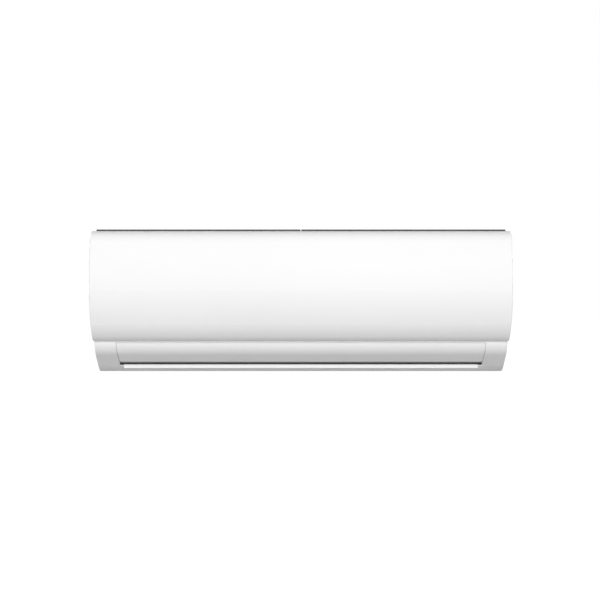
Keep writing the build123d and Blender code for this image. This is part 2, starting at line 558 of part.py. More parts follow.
case_x = WIDTH / 2 - CASE_INSET
case_skin = PANEL_THICKNESS + PANEL_GAP + CASE_WALL
grid_length = GRID_COLUMNS * GRID_PITCH_X + GRID_BAR
grid_depth = GRID_ROWS * GRID_PITCH_Y + GRID_BAR
with BuildPart() as front_casing:
    with BuildSketch(section(-case_x)):
        add(case_face(0))
    extrude(amount=2 * case_x)
    with BuildSketch(section(-case_x + CASE_WALL)):
        add(case_face(CASE_WALL))
    extrude(amount=2 * (case_x - CASE_WALL), mode=Mode.SUBTRACT)
    # recess for the filters, open at the front
    with BuildSketch(level(CASE_TOP)):
        with Locations((0, -(FILTER_BACK - 2 * SEAT))):
            Rectangle(2 * (FILTER_OUTER_X + 2 * SEAT), DEPTH, align=(Align.CENTER, Align.MAX))
    extrude(amount=DECK_HEIGHT - CASE_TOP, mode=Mode.SUBTRACT)
    # intake opening under the filters
    with BuildSketch(level(DECK_HEIGHT)):
        with Locations((0, -(FILTER_BACK + FILTER_FRONT) / 2)):
            Rectangle(grid_length, grid_depth)
    extrude(amount=-2 * CASE_WALL, mode=Mode.SUBTRACT)
    # service windows and latch slots behind the panel
    with BuildSketch(front(REBATE_DEPTH)):
        for low_x, high_x in SERVICE_WINDOWS:
            with Locations(((low_x + high_x) / 2, (SERVICE_LOW + SERVICE_HIGH) / 2)):
                RectangleRounded(high_x - low_x, SERVICE_HIGH - SERVICE_LOW, SERVICE_CORNER)
        with Locations(*[(x, LATCH_HEIGHT) for x in mirrored(LATCH_X)]):
            Rectangle(LATCH_WIDTH + 2, 3 * LATCH_THICKNESS)
    extrude(amount=DEPTH, mode=Mode.SUBTRACT)
    # louver opening and the upright lip under it
    with BuildSketch(LOUVER_FACE):
        louver_outline(LOUVER_SEAM, GAP_BELOW_LOUVER)
    extrude(amount=LOUVER_SETBACK, both=True, mode=Mode.SUBTRACT)
    with BuildSketch(section(-LIP_X)):
        with BuildLine():
            Polyline(at(*skirt_end), at(LIP_DEPTH, LIP_LOW), at(LIP_DEPTH, LIP_HIGH),
                     at(LIP_DEPTH - LIP_WALL, LIP_HIGH), at(LIP_DEPTH - LIP_WALL, LIP_LOW + CASE_WALL),
                     at(skirt_end[0], CASE_WALL), at(*skirt_end))
        make_face()
    extrude(amount=2 * LIP_X)
    # sides stepped in where the panel's flanges lie and swing
    for x, way in ((-case_x, 1), (case_x, -1)):
        with BuildSketch(section(x)):
            add(panel_band(0, PANEL_FLANGE))
            offset(amount=SEAM)
            with Locations(at(HINGE_DEPTH, HINGE_HEIGHT)):
                Circle(HINGE_DROP + SEAM)
        extrude(amount=way * (PANEL_THICKNESS + SEAT - CASE_INSET), mode=Mode.SUBTRACT)
    # outlet for the pipes in the left side, open at the back
    with BuildSketch(section(-case_x)):
        with Locations(at(0, (SIDE_OUTLET_LOW + SIDE_OUTLET_HIGH) / 2)):
            RectangleRounded(2 * SIDE_OUTLET_DEPTH, SIDE_OUTLET_HIGH - SIDE_OUTLET_LOW, SERVICE_CORNER)
    extrude(amount=CASE_WALL, mode=Mode.SUBTRACT)
    # panel hinge ears
    for x in EAR_STARTS:
        with BuildSketch(section(x)):
            with Locations(at(HINGE_DEPTH, HINGE_HEIGHT)):
                Circle(HINGE_ARM_RADIUS)
            Polygon(
                at(HINGE_DEPTH - 8, REBATE_HEIGHT - CASE_WALL / 2),
                at(HINGE_DEPTH + 8, REBATE_HEIGHT - CASE_WALL / 2),
                at(HINGE_DEPTH + 5, HINGE_HEIGHT),
                at(HINGE_DEPTH - 5, HINGE_HEIGHT),
                align=None,
            )
            with Locations(at(HINGE_DEPTH, HINGE_HEIGHT)):
                Circle(HINGE_PIN_RADIUS + RUNNING, mode=Mode.SUBTRACT)
        extrude(amount=EAR_WIDTH)
    # button hole and display bosses
    with BuildSketch(front(DISPLAY_FRONT)):
        with Locations((BUTTON_X, BUTTON_HEIGHT)):
            Circle(BUTTON_RADIUS + LOOSE)
    extrude(amount=DEPTH - DISPLAY_FRONT, mode=Mode.SUBTRACT)
    for x, height in DISPLAY_BOSSES:
        with BuildSketch(front(DISPLAY_FRONT)):
            with Locations((x, height)):
                Circle(DISPLAY_BOSS_RADIUS)
        extrude(amount=brow_depth(height, case_skin - CASE_WALL / 2) - DISPLAY_FRONT)
    # screw pads in the bottom
    with BuildSketch(level(CASE_WALL / 2)):
        with Locations(*[(x, -BOTTOM_SCREW_DEPTH) for x in BOTTOM_SCREWS]):
            Circle(PAD_RADIUS)
    extrude(amount=LEDGE_HEIGHT - SEAT - CASE_WALL / 2)
    with Locations(*[space(x, BOTTOM_SCREW_DEPTH, 0) for x in BOTTOM_SCREWS]):
        Cylinder(SCREW_HEAD_RADIUS + 0.5, PAD_SINK, align=(Align.CENTER, Align.CENTER, Align.MIN),
                 mode=Mode.SUBTRACT)
        Cylinder(SCREW_RADIUS + LOOSE, DEPTH / 10, align=(Align.CENTER, Align.CENTER, Align.MIN),
                 mode=Mode.SUBTRACT)
front_casing.part.label = "front_casing"
export_step(front_casing.part, "parts/front_casing.step")

# Intake grille: a flat grid clipped into the casing's top

with BuildPart() as intake_grille:
    with BuildSketch(level(DECK_HEIGHT)):
        with Locations((0, -(FILTER_BACK + FILTER_FRONT) / 2)):
            Rectangle(grid_length - 2 * SEAT, grid_depth - 2 * SEAT)
            with GridLocations(GRID_PITCH_X, GRID_PITCH_Y, GRID_COLUMNS, GRID_ROWS):
                Rectangle(GRID_PITCH_X - GRID_BAR, GRID_PITCH_Y - GRID_BAR, mode=Mode.SUBTRACT)
    extrude(amount=-CASE_WALL)
intake_grille.part.label = "intake_grille"
export_step(intake_grille.part, "parts/intake_grille.step")

# Chassis: back wall, pipe channel, scroll behind the fan, end walls, cradle and brackets

spigot_height = PAN_BOTTOM + SPIGOT_RADIUS
with BuildPart() as chassis:
    back_x = case_x - CASE_WALL - SEAT
    with BuildSketch(section(-back_x)):
        with BuildLine():
            spine = Polyline(
                at(BACK_DEPTH, DECK_HEIGHT - CASE_WALL - SEAT),
                at(BACK_DEPTH, CHANNEL_HEIGHT),
                at(CHANNEL_DEPTH, CHANNEL_HEIGHT),
                at(CHANNEL_DEPTH, LEDGE_HEIGHT),
                at(LEDGE_DEPTH, LEDGE_HEIGHT),
            )
            offset(spine, amount=WALL, side=Side.RIGHT, kind=Kind.INTERSECTION)
        make_face()
    extrude(amount=2 * back_x)
    scroll_back = FAN_DEPTH - FAN_RADIUS - SCROLL_GAP
    corner_height = MOUTH_HEIGHT + (MOUTH_DEPTH - scroll_back) / tan(radians(SCROLL_ANGLE))
    with BuildSketch(section(AIR_LEFT)):
        with BuildLine():
            surface = FilletPolyline(
                at(scroll_back, SCROLL_TOP),
                at(scroll_back, corner_height),
                at(*duct_point(MOUTH_TRIM, 0)),
                radius=SCROLL_RADIUS,
            )
            offset(surface, amount=WALL, side=Side.LEFT)
        make_face()
    extrude(amount=AIR_RIGHT - AIR_LEFT)
    with BuildSketch(section(-APRON_X)):
        Polygon(
            at(*duct_point(MOUTH_TRIM, 0)),
            at(*duct_point(APRON_LENGTH, 0)),
            at(*duct_point(APRON_LENGTH, -WALL)),
            at(*duct_point(MOUTH_TRIM, -WALL)),
            align=None,
        )
    extrude(amount=2 * APRON_X)
    # ribs that carry the scroll on the back wall
    rib_span = 2 * APRON_X - 3 * WALL
    for i in range(SCROLL_RIBS):
        with BuildSketch(section(WALL - APRON_X + i * rib_span / (SCROLL_RIBS - 1))):
            Polygon(
                at(CHANNEL_DEPTH, LEDGE_HEIGHT),
                at(LEDGE_DEPTH, LEDGE_HEIGHT),
                at(*duct_point(APRON_LENGTH, -WALL / 2)),
                at(*duct_point(1.5 * APRON_LENGTH, -WALL / 2)),
                at(CHANNEL_DEPTH, CHANNEL_HEIGHT + WALL),
                align=None,
            )
        extrude(amount=WALL)
    # rear water trough
    with BuildSketch(section(AIR_LEFT - TROUGH_OVERHANG)):
        Polygon(
            at(BACK_DEPTH + WALL / 2, TROUGH_HEIGHT),
            at(scroll_back, TROUGH_HEIGHT),
            at(scroll_back, SCROLL_TOP),
            at(scroll_back - WALL, SCROLL_TOP),
            at(scroll_back - WALL, TROUGH_HEIGHT + WALL),
            at(BACK_DEPTH + WALL / 2, TROUGH_HEIGHT + WALL),
            align=None,
        )
    extrude(amount=AIR_RIGHT - AIR_LEFT + 2 * TROUGH_OVERHANG)
    trough_ends = (AIR_LEFT - TROUGH_OVERHANG, AIR_RIGHT + TROUGH_OVERHANG - WALL)
    with BuildSketch(*[section(x) for x in trough_ends]):
        Polygon(
            at(BACK_DEPTH + WALL / 2, TROUGH_HEIGHT),
            at(scroll_back, TROUGH_HEIGHT),
            at(scroll_back, SCROLL_TOP),
            at(BACK_DEPTH + WALL / 2, SCROLL_TOP),
            align=None,
        )
    extrude(amount=WALL)
    # end walls of the air path, cut back round the louver's sweep
    for x, hole in ((AIR_LEFT, GROMMET_RADIUS), (AIR_RIGHT - WALL, MOTOR_HOLE_RADIUS)):
        with BuildSketch(section(x)):
            Polygon(
                at(scroll_back - WALL, TROUGH_HEIGHT + WALL),
                at(scroll_back - WALL, FAN_HEIGHT),
                at(*duct_point(1.5 * APRON_LENGTH, -WALL)),
                at(*duct_point(MOUTH_TRIM, -WALL)),
                at(*louver_point(0, WALL_SETBACK)),
                at(*louver_point(LOUVER_CHORD, WALL_SETBACK)),
                at(PAN_BACK - SEAM / 2, PAN_BOTTOM),
                at(PAN_BACK - SEAM / 2, TROUGH_HEIGHT + WALL),
                align=None,
            )
            with Locations(at(*PIVOT)):
                Circle(LOUVER_SWEEP_RADIUS, mode=Mode.SUBTRACT)
            with Locations(at(FAN_DEPTH, FAN_HEIGHT)):
                Circle(hole, mode=Mode.SUBTRACT)
        extrude(amount=WALL)
    # louver bearings
    for x in (-BEARING_X - BEARING_WIDTH, BEARING_X):
        with BuildSketch(section(x)):
            with Locations(at(*PIVOT)):
                Circle(BEARING_RADIUS)
            Polygon(
                at(*duct_point(MOUTH_TRIM + 3, -WALL / 2)),
                at(*duct_point(APRON_LENGTH - 3, -WALL / 2)),
                at(PIVOT[0] - BEARING_RADIUS * cos(radians(45)), PIVOT[1] + BEARING_RADIUS * 0.7),
                at(PIVOT[0] + BEARING_RADIUS * cos(radians(45)), PIVOT[1] - BEARING_RADIUS * 0.7),
                align=None,
            )
            with Locations(at(*PIVOT)):
                Circle(LOUVER_PIN_RADIUS + RUNNING, mode=Mode.SUBTRACT)
        extrude(amount=BEARING_WIDTH)
    # motor cradle: two ribs joined by screw blocks, and a rib behind the motor's end
    for x in CRADLE_RIBS:
        with BuildSketch(section(x)):
            Polygon(
                at(BACK_DEPTH + WALL / 2, FAN_HEIGHT - CRADLE_HALF),
                at(FAN_DEPTH, FAN_HEIGHT - CRADLE_HALF),
                at(FAN_DEPTH, FAN_HEIGHT + CRADLE_HALF),
                at(BACK_DEPTH + WALL / 2, FAN_HEIGHT + CRADLE_HALF),
                align=None,
            )
            with Locations(at(FAN_DEPTH, FAN_HEIGHT)):
                Circle(MOTOR_RADIUS + SEAT, mode=Mode.SUBTRACT)
        extrude(amount=WALL)
    for side in (-1, 1):
        with BuildSketch(section(CRADLE_RIBS[0])):
            with Locations(at(FAN_DEPTH - 10, FAN_HEIGHT + side * (CRADLE_HALF - 4.5))):
                Rectangle(20, 9)
            with Locations(at(FAN_DEPTH, FAN_HEIGHT)):
                Circle(MOTOR_RADIUS + SEAT, mode=Mode.SUBTRACT)
        extrude(amount=CRADLE_RIBS[1] - CRADLE_RIBS[0] + WALL)
    with BuildSketch(section(MOTOR_RIGHT + MOTOR_BOSS_LENGTH + SEAM)):
        Polygon(
            at(BACK_DEPTH + WALL / 2, FAN_HEIGHT - CRADLE_HALF / 2),
            at(FAN_DEPTH + CRADLE_HALF / 3, FAN_HEIGHT - CRADLE_HALF / 2),
            at(FAN_DEPTH + CRADLE_HALF / 3, FAN_HEIGHT + CRADLE_HALF / 2),
            at(BACK_DEPTH + WALL / 2, FAN_HEIGHT + CRADLE_HALF / 2),
            align=None,
        )
    extrude(amount=WALL)
    # brackets under the control box
    for low, high in BOX_BRACKETS:
        with BuildSketch(front(BACK_DEPTH + WALL / 2)):
            with Locations(((BOX_LEFT + BOX_RIGHT) / 2, (low + high) / 2)):
                Rectangle(WALL, high - low)
        extrude(amount=BOX_BACK - SEAT - BACK_DEPTH - WALL / 2)
    # hook windows, hose hole, plate claws, pipe opening, vane bearings and bottom screw bosses
    with BuildSketch(front(0)):
        with Locations(*[(x, HOOK_HEIGHT - HOOK_LIP) for x in mirrored(HOOK_X)]):
            Rectangle(HOOK_WIDTH + 4, 2 * (HOOK_LIP + SHEET + SEAT / 2))
        with Locations((SPIGOT_X, spigot_height)):
            Circle(HOSE_HOLE_RADIUS)
    extrude(amount=BACK_DEPTH + WALL, mode=Mode.SUBTRACT)
    with BuildSketch(front(BACK_DEPTH)):
        with Locations(*[(x, PLATE_LOW - SEAT - 1.5) for x in mirrored(HOOK_X)]):
            Rectangle(HOOK_WIDTH, 3)
    extrude(amount=SEAT - BACK_DEPTH)
    with BuildSketch(level(CHANNEL_HEIGHT - WALL)):
        with Locations((MOTOR_LEFT + PIPE_HOLE_WIDTH / 2, -PIPE_DEPTH)):
            Rectangle(PIPE_HOLE_WIDTH, PIPE_HOLE_DEPTH)
    extrude(amount=3 * WALL, mode=Mode.SUBTRACT)
    with BuildSketch(DUCT):
        with Locations(*[(x, VANE_PIVOT) for x in VANE_XS]):
            Circle(VANE_PIN_RADIUS + RUNNING)
    extrude(amount=-2 * WALL, mode=Mode.SUBTRACT)
    with BuildSketch(level(LEDGE_HEIGHT)):
        with Locations(*[(x, -BOTTOM_SCREW_DEPTH) for x in BOTTOM_SCREWS]):
            Circle(PAD_RADIUS - 1)
    extrude(amount=SCREW_LENGTH)
    with Locations(*[space(x, BOTTOM_SCREW_DEPTH, LEDGE_HEIGHT) for x in BOTTOM_SCREWS]):
        Cylinder(SCREW_RADIUS, SCREW_LENGTH, align=(Align.CENTER, Align.CENTER, Align.MIN),
                 mode=Mode.SUBTRACT)
    clamp_hole = Plane(origin=space(CLAMP_X, FAN_DEPTH, FAN_HEIGHT), x_dir=(1, 0, 0), z_dir=(0, -1, 0))
    with BuildSketch(clamp_hole):
        with Locations((0, CLAMP_SCREW), (0, -CLAMP_SCREW)):
            Circle(SCREW_RADIUS)
    extrude(amount=-SCREW_LENGTH, mode=Mode.SUBTRACT)
chassis.part.label = "chassis"
export_step(chassis.part, "parts/chassis.step")

# Filters: two flat cassettes that lie on the intake grid, each with a net of its own

filter_middle = (FILTER_BACK + FILTER_FRONT) / 2
filter_depth = FILTER_FRONT - FILTER_BACK
filter_length = FILTER_OUTER_X - FILTER_INNER_X
filter_centre = (FILTER_OUTER_X + FILTER_INNER_X) / 2
for side, word in ((-1, "left"), (1, "right")):
    with BuildPart() as filter_frame:
        with BuildSketch(level(DECK_HEIGHT)):
            with Locations((side * filter_centre, -filter_middle)):
                Rectangle(filter_length, filter_depth)
                cell_x = (filter_length - 2 * FILTER_BAR + FILTER_RIB) / FILTER_COLUMNS
                cell_y = (filter_depth - 2 * FILTER_BAR + FILTER_RIB) / FILTER_ROWS
                with GridLocations(cell_x, cell_y, FILTER_COLUMNS, FILTER_ROWS):
                    Rectangle(cell_x - FILTER_RIB, cell_y - FILTER_RIB, mode=Mode.SUBTRACT)
        extrude(amount=HEIGHT - DECK_HEIGHT)
        with BuildSketch(level(DECK_HEIGHT)):
            with Locations((side * filter_centre, -filter_middle)):
                Rectangle(filter_length - 2 * FILTER_BAR, filter_depth - 2 * FILTER_BAR)
        extrude(amount=NET_SPACE, mode=Mode.SUBTRACT)
        fillet(filter_frame.edges().group_by(Axis.Z)[-1].filter_by(Axis.X).sort_by(Axis.Y)[:1], 1.5)
    filter_frame.part.label = f"filter_frame_{word}"
    export_step(filter_frame.part, f"parts/filter_frame_{word}.step")
    with BuildPart() as filter_net:
        with BuildSketch(level(DECK_HEIGHT + SEAT)):
            with Locations((side * filter_centre, -filter_middle)):
                Rectangle(filter_length - 2 * FILTER_BAR - 2 * LOOSE, filter_depth - 2 * FILTER_BAR - 2 * LOOSE)
        extrude(amount=NET_SPACE - SEAT)
    filter_net.part.label = f"filter_net_{word}"
    export_step(filter_net.part, f"parts/filter_net_{word}.step")

# Cross-flow fan: curved blades through ring discs, with solid ends and a hub for each shaft

blade_inner, blade_thickness = FAN_RADIUS - 10.5, 1.3
with BuildSketch() as blade:
    with BuildLine():
        face = ThreePointArc((blade_inner, 0), (blade_inner + 6, 1), (FAN_RADIUS - 0.7, 5.5))
        back = ThreePointArc((blade_inner, blade_thickness), (blade_inner + 5.4, 2.2), (FAN_RADIUS - 1.5, 6.3))
        Line(face @ 0, back @ 0)
        Line(face @ 1, back @ 1)
    make_face()
fan_length = FAN_RIGHT - FAN_LEFT
axis_point = at(FAN_DEPTH, FAN_HEIGHT)
with BuildPart() as fan_rotor:
    with BuildSketch(section(FAN_LEFT)):
        with Locations(axis_point):
            with PolarLocations(0, FAN_BLADES):
                add(blade.sketch)
    extrude(amount=fan_length)
    for i in range(FAN_SECTIONS + 1):
        with BuildSketch(section(FAN_LEFT + i * (fan_length - DISC_THICKNESS) / FAN_SECTIONS)):
            with Locations(axis_point):
                Circle(FAN_RADIUS)
                Circle(SHAFT_RADIUS if i in (0, FAN_SECTIONS) else FAN_RADIUS - 12, mode=Mode.SUBTRACT)
        extrude(amount=DISC_THICKNESS)
    for x in (FAN_LEFT, FAN_RIGHT - HUB_LENGTH):
        with BuildSketch(section(x)):
            with Locations(axis_point):
                Circle(HUB_RADIUS)
                Circle(SHAFT_RADIUS, mode=Mode.SUBTRACT)
        extrude(amount=HUB_LENGTH)
fan_rotor.part.label = "fan_rotor"
export_step(fan_rotor.part, "parts/fan_rotor.step")

with BuildPart() as fan_shafts:
    with BuildSketch(section(AIR_LEFT - GROMMET_LIP - 3)):
        with Locations(axis_point):
            Circle(SHAFT_RADIUS)
    extrude(amount=FAN_LEFT + HUB_LENGTH - AIR_LEFT + GROMMET_LIP + 3)
    with BuildSketch(section(FAN_RIGHT - HUB_LENGTH)):
        with Locations(axis_point):
            Circle(SHAFT_RADIUS)
    extrude(amount=MOTOR_RIGHT - FAN_RIGHT + HUB_LENGTH)
fan_shafts.part.label = "fan_shafts"
export_step(fan_shafts.part, "parts/fan_shafts.step")

with BuildPart() as fan_bearing:
    with BuildSketch(section(AIR_LEFT - GROMMET_LIP)):
        with Locations(axis_point):
            Circle(BEARING_OUTER)
            Circle(SHAFT_RADIUS + RUNNING, mode=Mode.SUBTRACT)
    extrude(amount=2 * GROMMET_LIP + WALL)
fan_bearing.part.label = "fan_bearing"
export_step(fan_bearing.part, "parts/fan_bearing.step")

with BuildPart() as bearing_grommet:
    for x, radius, length in (
        (AIR_LEFT - GROMMET_LIP, GROMMET_FLANGE, GROMMET_LIP),
        (AIR_LEFT, GROMMET_RADIUS, WALL),
        (AIR_LEFT + WALL, GROMMET_FLANGE, GROMMET_LIP),
    ):
        with BuildSketch(section(x)):
            with Locations(axis_point):
                Circle(radius)
                Circle(BEARING_OUTER, mode=Mode.SUBTRACT)
        extrude(amount=length)
bearing_grommet.part.label = "bearing_grommet"
export_step(bearing_grommet.part, "parts/bearing_grommet.step")

# Fan motor, its rubber rings and its clamp

with BuildPart() as fan_motor:
    with BuildSketch(section(MOTOR_LEFT)):
        with Locations(axis_point):
            Circle(MOTOR_RADIUS)
    extrude(amount=MOTOR_RIGHT - MOTOR_LEFT)
    fillet(fan_motor.edges().filter_by(GeomType.CIRCLE), 6)
    with BuildSketch(section(MOTOR_LEFT - MOTOR_BOSS_LENGTH)):
        with Locations(axis_point):
            Circle(MOTOR_BOSS_RADIUS)
    extrude(amount=MOTOR_RIGHT - MOTOR_LEFT + 2 * MOTOR_BOSS_LENGTH)
    with BuildSketch(section(MOTOR_LEFT - MOTOR_BOSS_LENGTH)):
        with Locations(axis_point):
            Circle(SHAFT_RADIUS + RUNNING)
    extrude(amount=MOTOR_RIGHT - MOTOR_LEFT + MOTOR_BOSS_LENGTH + SEAT, mode=Mode.SUBTRACT)
fan_motor.part.label = "fan_motor"
export_step(fan_motor.part, "parts/fan_motor.step")

with BuildPart() as motor_rings:
    for x in (MOTOR_LEFT - MOTOR_BOSS_LENGTH, MOTOR_RIGHT):
        with BuildSketch(section(x)):
            with Locations(axis_point):
                Circle(MOTOR_RING_RADIUS)
                Circle(MOTOR_BOSS_RADIUS, mode=Mode.SUBTRACT)
        extrude(amount=MOTOR_BOSS_LENGTH)
motor_rings.part.label = "motor_rings"
export_step(motor_rings.part, "parts/motor_rings.step")

with BuildPart() as motor_clamp:
    with BuildSketch(section(CRADLE_RIBS[0])):
        with Locations(axis_point):
            Circle(MOTOR_RADIUS + SEAT + CLAMP_SHEET)
            Circle(MOTOR_RADIUS + SEAT, mode=Mode.SUBTRACT)
        for side in (-1, 1):
            with Locations(at(FAN_DEPTH + SEAT + CLAMP_SHEET / 2, FAN_HEIGHT + side * (CRADLE_HALF - 5))):
                Rectangle(CLAMP_SHEET, 10)
        with Locations(at(FAN_DEPTH + SEAT - DEPTH / 2, FAN_HEIGHT)):
            Rectangle(DEPTH, HEIGHT, mode=Mode.SUBTRACT)
    extrude(amount=CRADLE_RIBS[1] - CRADLE_RIBS[0] + WALL)
    with BuildSketch(clamp_hole):
        with Locations((0, CLAMP_SCREW), (0, -CLAMP_SCREW)):
            Circle(SCREW_RADIUS + LOOSE)
    extrude(amount=3 * CLAMP_SHEET, mode=Mode.SUBTRACT)
motor_clamp.part.label = "motor_clamp"
export_step(motor_clamp.part, "parts/motor_clamp.step")

# Evaporator: three fin slabs on shared end plates, hairpin tubes, return bends and jumpers


def tube_places(start, end):
    """Tube centres of a slab in the order the refrigerant passes them, in slab coordinates."""
    count = 1 + floor((slab_length(start, end) - 2 * TUBE_MARGIN - TUBE_PITCH / 2) / TUBE_PITCH)
    out_row = [(TUBE_MARGIN + k * TUBE_PITCH, TUBE_ROWS[0]) for k in range(count)]
    back_row = [(TUBE_MARGIN + (k + 0.5) * TUBE_PITCH, TUBE_ROWS[1]) for k in reversed(range(count))]
    return out_row + back_row


def slab_space(start, end, place, x):
    """A slab place in the unit's own frame, at x."""
    return slab_plane(start, end, x).from_local_coords(place)


def tube_along(route, radius, wall):
    """Hollow tube along a route of straight runs and arcs."""
    with BuildPart() as tube:
        with BuildSketch(Plane(origin=route @ 0, z_dir=route % 0)):
            Circle(radius)
            Circle(radius - wall, mode=Mode.SUBTRACT)
        sweep(path=route)
    return tube.part


def bend_between(first, second, x, way, reach):
    """Tube route that leaves x square to the coil's end, turns half round and comes back."""
    with BuildLine() as route:
        turn_x = x + way * reach
        a = Vector(turn_x, first.Y, first.Z)
        b = Vector(turn_x, second.Y, second.Z)
        crown = (a + b) / 2 + Vector(way * (a - b).length / 2, 0, 0)
        Line(Vector(x, first.Y, first.Z), a)
        ThreePointArc(a, crown, b)
        Line(b, Vector(x, second.Y, second.Z))
    return route.line


tube_right = COIL_RIGHT + PLATE_THICKNESS + TUBE_REACH
tube_left = COIL_LEFT - PLATE_THICKNESS - TUBE_REACH / 2
hairpins, bends = [], []
for name, (start, end) in COIL_SLABS.items():
    places = tube_places(start, end)
    with BuildPart() as fins:
        with BuildSketch(slab_plane(start, end, COIL_LEFT)):
            Rectangle(slab_length(start, end), COIL_THICKNESS, align=Align.MIN)
            with Locations(*places):
                Circle(TUBE_RADIUS, mode=Mode.SUBTRACT)
        extrude(amount=COIL_RIGHT - COIL_LEFT)
    fins.part.label = f"evaporator_fins_{name}"
    export_step(fins.part, f"parts/evaporator_fins_{name}.step")
    points = [slab_space(start, end, place, 0) for place in places]
    for first, second in zip(points[0::2], points[1::2]):
        route = bend_between(first, second, tube_right, -1, tube_right - tube_left)
        hairpins.append(tube_along(route, TUBE_RADIUS, TUBE_WALL))
    for first, second in zip(points[1:-1:2], points[2:-1:2]):
        route = bend_between(first, second, tube_right, 1, 1)
        bends.append(tube_along(route, TUBE_RADIUS, TUBE_WALL))

with BuildPart() as evaporator_tubes:
    add(hairpins)
evaporator_tubes.part.label = "evaporator_tubes"
export_step(evaporator_tubes.part, "parts/evaporator_tubes.step")

with BuildPart() as return_bends:
    add(bends)
return_bends.part.label = "return_bends"
export_step(return_bends.part, "parts/return_bends.step")

for word, x in (("left", COIL_LEFT - PLATE_THICKNESS), ("right", COIL_RIGHT)):
    with BuildPart() as end_plate:
        for start, end in COIL_SLABS.values():
            length = slab_length(start, end)
            with BuildSketch(slab_plane(start, end, x)):
                with Locations((-PLATE_EDGE, 0)):
                    Rectangle(length + 2 * PLATE_EDGE, COIL_THICKNESS, align=Align.MIN)
            extrude(amount=PLATE_THICKNESS)
        lower, upper, rear = COIL_SLABS.values()
        with BuildSketch(section(x)):
            Polygon(
                at(lower[1][0], lower[1][1]),
                at(lower[1][0] + COIL_THICKNESS, lower[1][1]),
                at(upper[0][0] + COIL_THICKNESS / 2, upper[0][1] + COIL_THICKNESS / 2),
                at(*upper[0]),
                align=None,
            )
            Polygon(
                at(*upper[1]),
                at(upper[1][0] + COIL_THICKNESS / 2, upper[1][1] + COIL_THICKNESS / 2),
                at(rear[0][0] - COIL_THICKNESS / 2, rear[0][1] + COIL_THICKNESS / 2),
                at(*rear[0]),
                align=None,
            )
            with Locations(at(lower[0][0] + COIL_THICKNESS / 2, (PAN_BOTTOM + PAN_WALL + lower[0][1]) / 2)):
                Rectangle(COIL_THICKNESS, lower[0][1] - PAN_BOTTOM - PAN_WALL)
            Polygon(
                at(rear[1][0], rear[1][1]),
                at(rear[1][0], TROUGH_HEIGHT + WALL),
                at(rear[1][0] - COIL_THICKNESS / 2, TROUGH_HEIGHT + WALL),
                at(rear[1][0] - COIL_THICKNESS / 2, rear[1][1] + COIL_THICKNESS / 2),
                align=None,
            )
        extrude(amount=PLATE_THICKNESS)
        for start, end in COIL_SLABS.values():
            with BuildSketch(slab_plane(start, end, x)):
                with Locations(*tube_places(start, end)):
                    Circle(TUBE_RADIUS)
            extrude(amount=PLATE_THICKNESS, mode=Mode.SUBTRACT)
    end_plate.part.label = f"coil_end_plate_{word}"
    export_step(end_plate.part, f"parts/coil_end_plate_{word}.step")

with BuildPart() as coil_jumpers:
    lower, upper, rear = COIL_SLABS.values()
    for before, after in ((lower, upper), (upper, rear)):
        leave = slab_space(*before, tube_places(*before)[-1], tube_right)
        enter = slab_space(*after, tube_places(*after)[0], tube_right)
        out = Vector(JUMPER_X - tube_right, 0, 0)
        with BuildLine() as route:
            FilletPolyline(leave, leave + out, enter + out, enter, radius=3 * TUBE_RADIUS)
        add(tube_along(route.line, TUBE_RADIUS, TUBE_WALL))
coil_jumpers.part.label = "coil_jumpers"
export_step(coil_jumpers.part, "parts/coil_jumpers.step")

# Refrigerant pipes: from the coil, behind the motor and along the channel to a flare union each

liquid_start = slab_space(*lower, tube_places(*lower)[0], tube_right)
gas_start = slab_space(*rear, tube_places(*rear)[-1], tube_right)
with BuildLine() as liquid_route:
    FilletPolyline(
        liquid_start,
        (LIQUID_X, liquid_start.Y, liquid_start.Z),
        (LIQUID_X, liquid_start.Y, PASS_HEIGHT - HEIGHT / 2),
        space(LIQUID_X, PIPE_DEPTH, PASS_HEIGHT),
        space(LIQUID_X, PIPE_DEPTH, LIQUID_LEVEL),
        space(LIQUID_END, PIPE_DEPTH, LIQUID_LEVEL),
        radius=PIPE_BEND,
    )
with BuildLine() as gas_route:
    FilletPolyline(
        gas_start,
        (GAS_X, gas_start.Y, gas_start.Z),
        (GAS_X, -PIPE_DEPTH, gas_start.Z),
        space(GAS_X, PIPE_DEPTH, GAS_LEVEL),
        space(GAS_END, PIPE_DEPTH, GAS_LEVEL),
        radius=PIPE_BEND,
    )
PIPES = (
    ("liquid", liquid_route.line, LIQUID_RADIUS, LIQUID_END, LIQUID_LEVEL, LIQUID_THREAD, LIQUID_FLATS),
    ("gas", gas_route.line, GAS_RADIUS, GAS_END, GAS_LEVEL, GAS_THREAD, GAS_FLATS),
)
for word, route, radius, end_x, end_height, thread, flats in PIPES:
    with BuildPart() as pipe:
        add(tube_along(route, radius, PIPE_WALL))
    pipe.part.label = f"{word}_pipe"
    export_step(pipe.part, f"parts/{word}_pipe.step")
    centre = at(PIPE_DEPTH, end_height)
    with BuildPart() as union:
        with BuildSketch(section(end_x - UNION_HEX - UNION_THREAD)):
            with Locations(centre):
                Circle(thread)
        extrude(amount=UNION_THREAD)
        with BuildSketch(section(end_x - UNION_HEX)):
            with Locations(centre):
                RegularPolygon(flats / 2, 6, major_radius=False)
        extrude(amount=UNION_HEX)
        with BuildSketch(section(end_x)):
            with Locations(centre):
                Circle(radius + UNION_WALL)
                Circle(radius, mode=Mode.SUBTRACT)
        extrude(amount=UNION_SLEEVE)
        with BuildSketch(section(end_x - UNION_HEX - UNION_THREAD)):
            with Locations(centre):
                Circle(radius - PIPE_WALL)
        extrude(amount=UNION_HEX + UNION_THREAD, mode=Mode.SUBTRACT)
    union.part.label = f"{word}_union"
    export_step(union.part, f"parts/{word}_union.step")

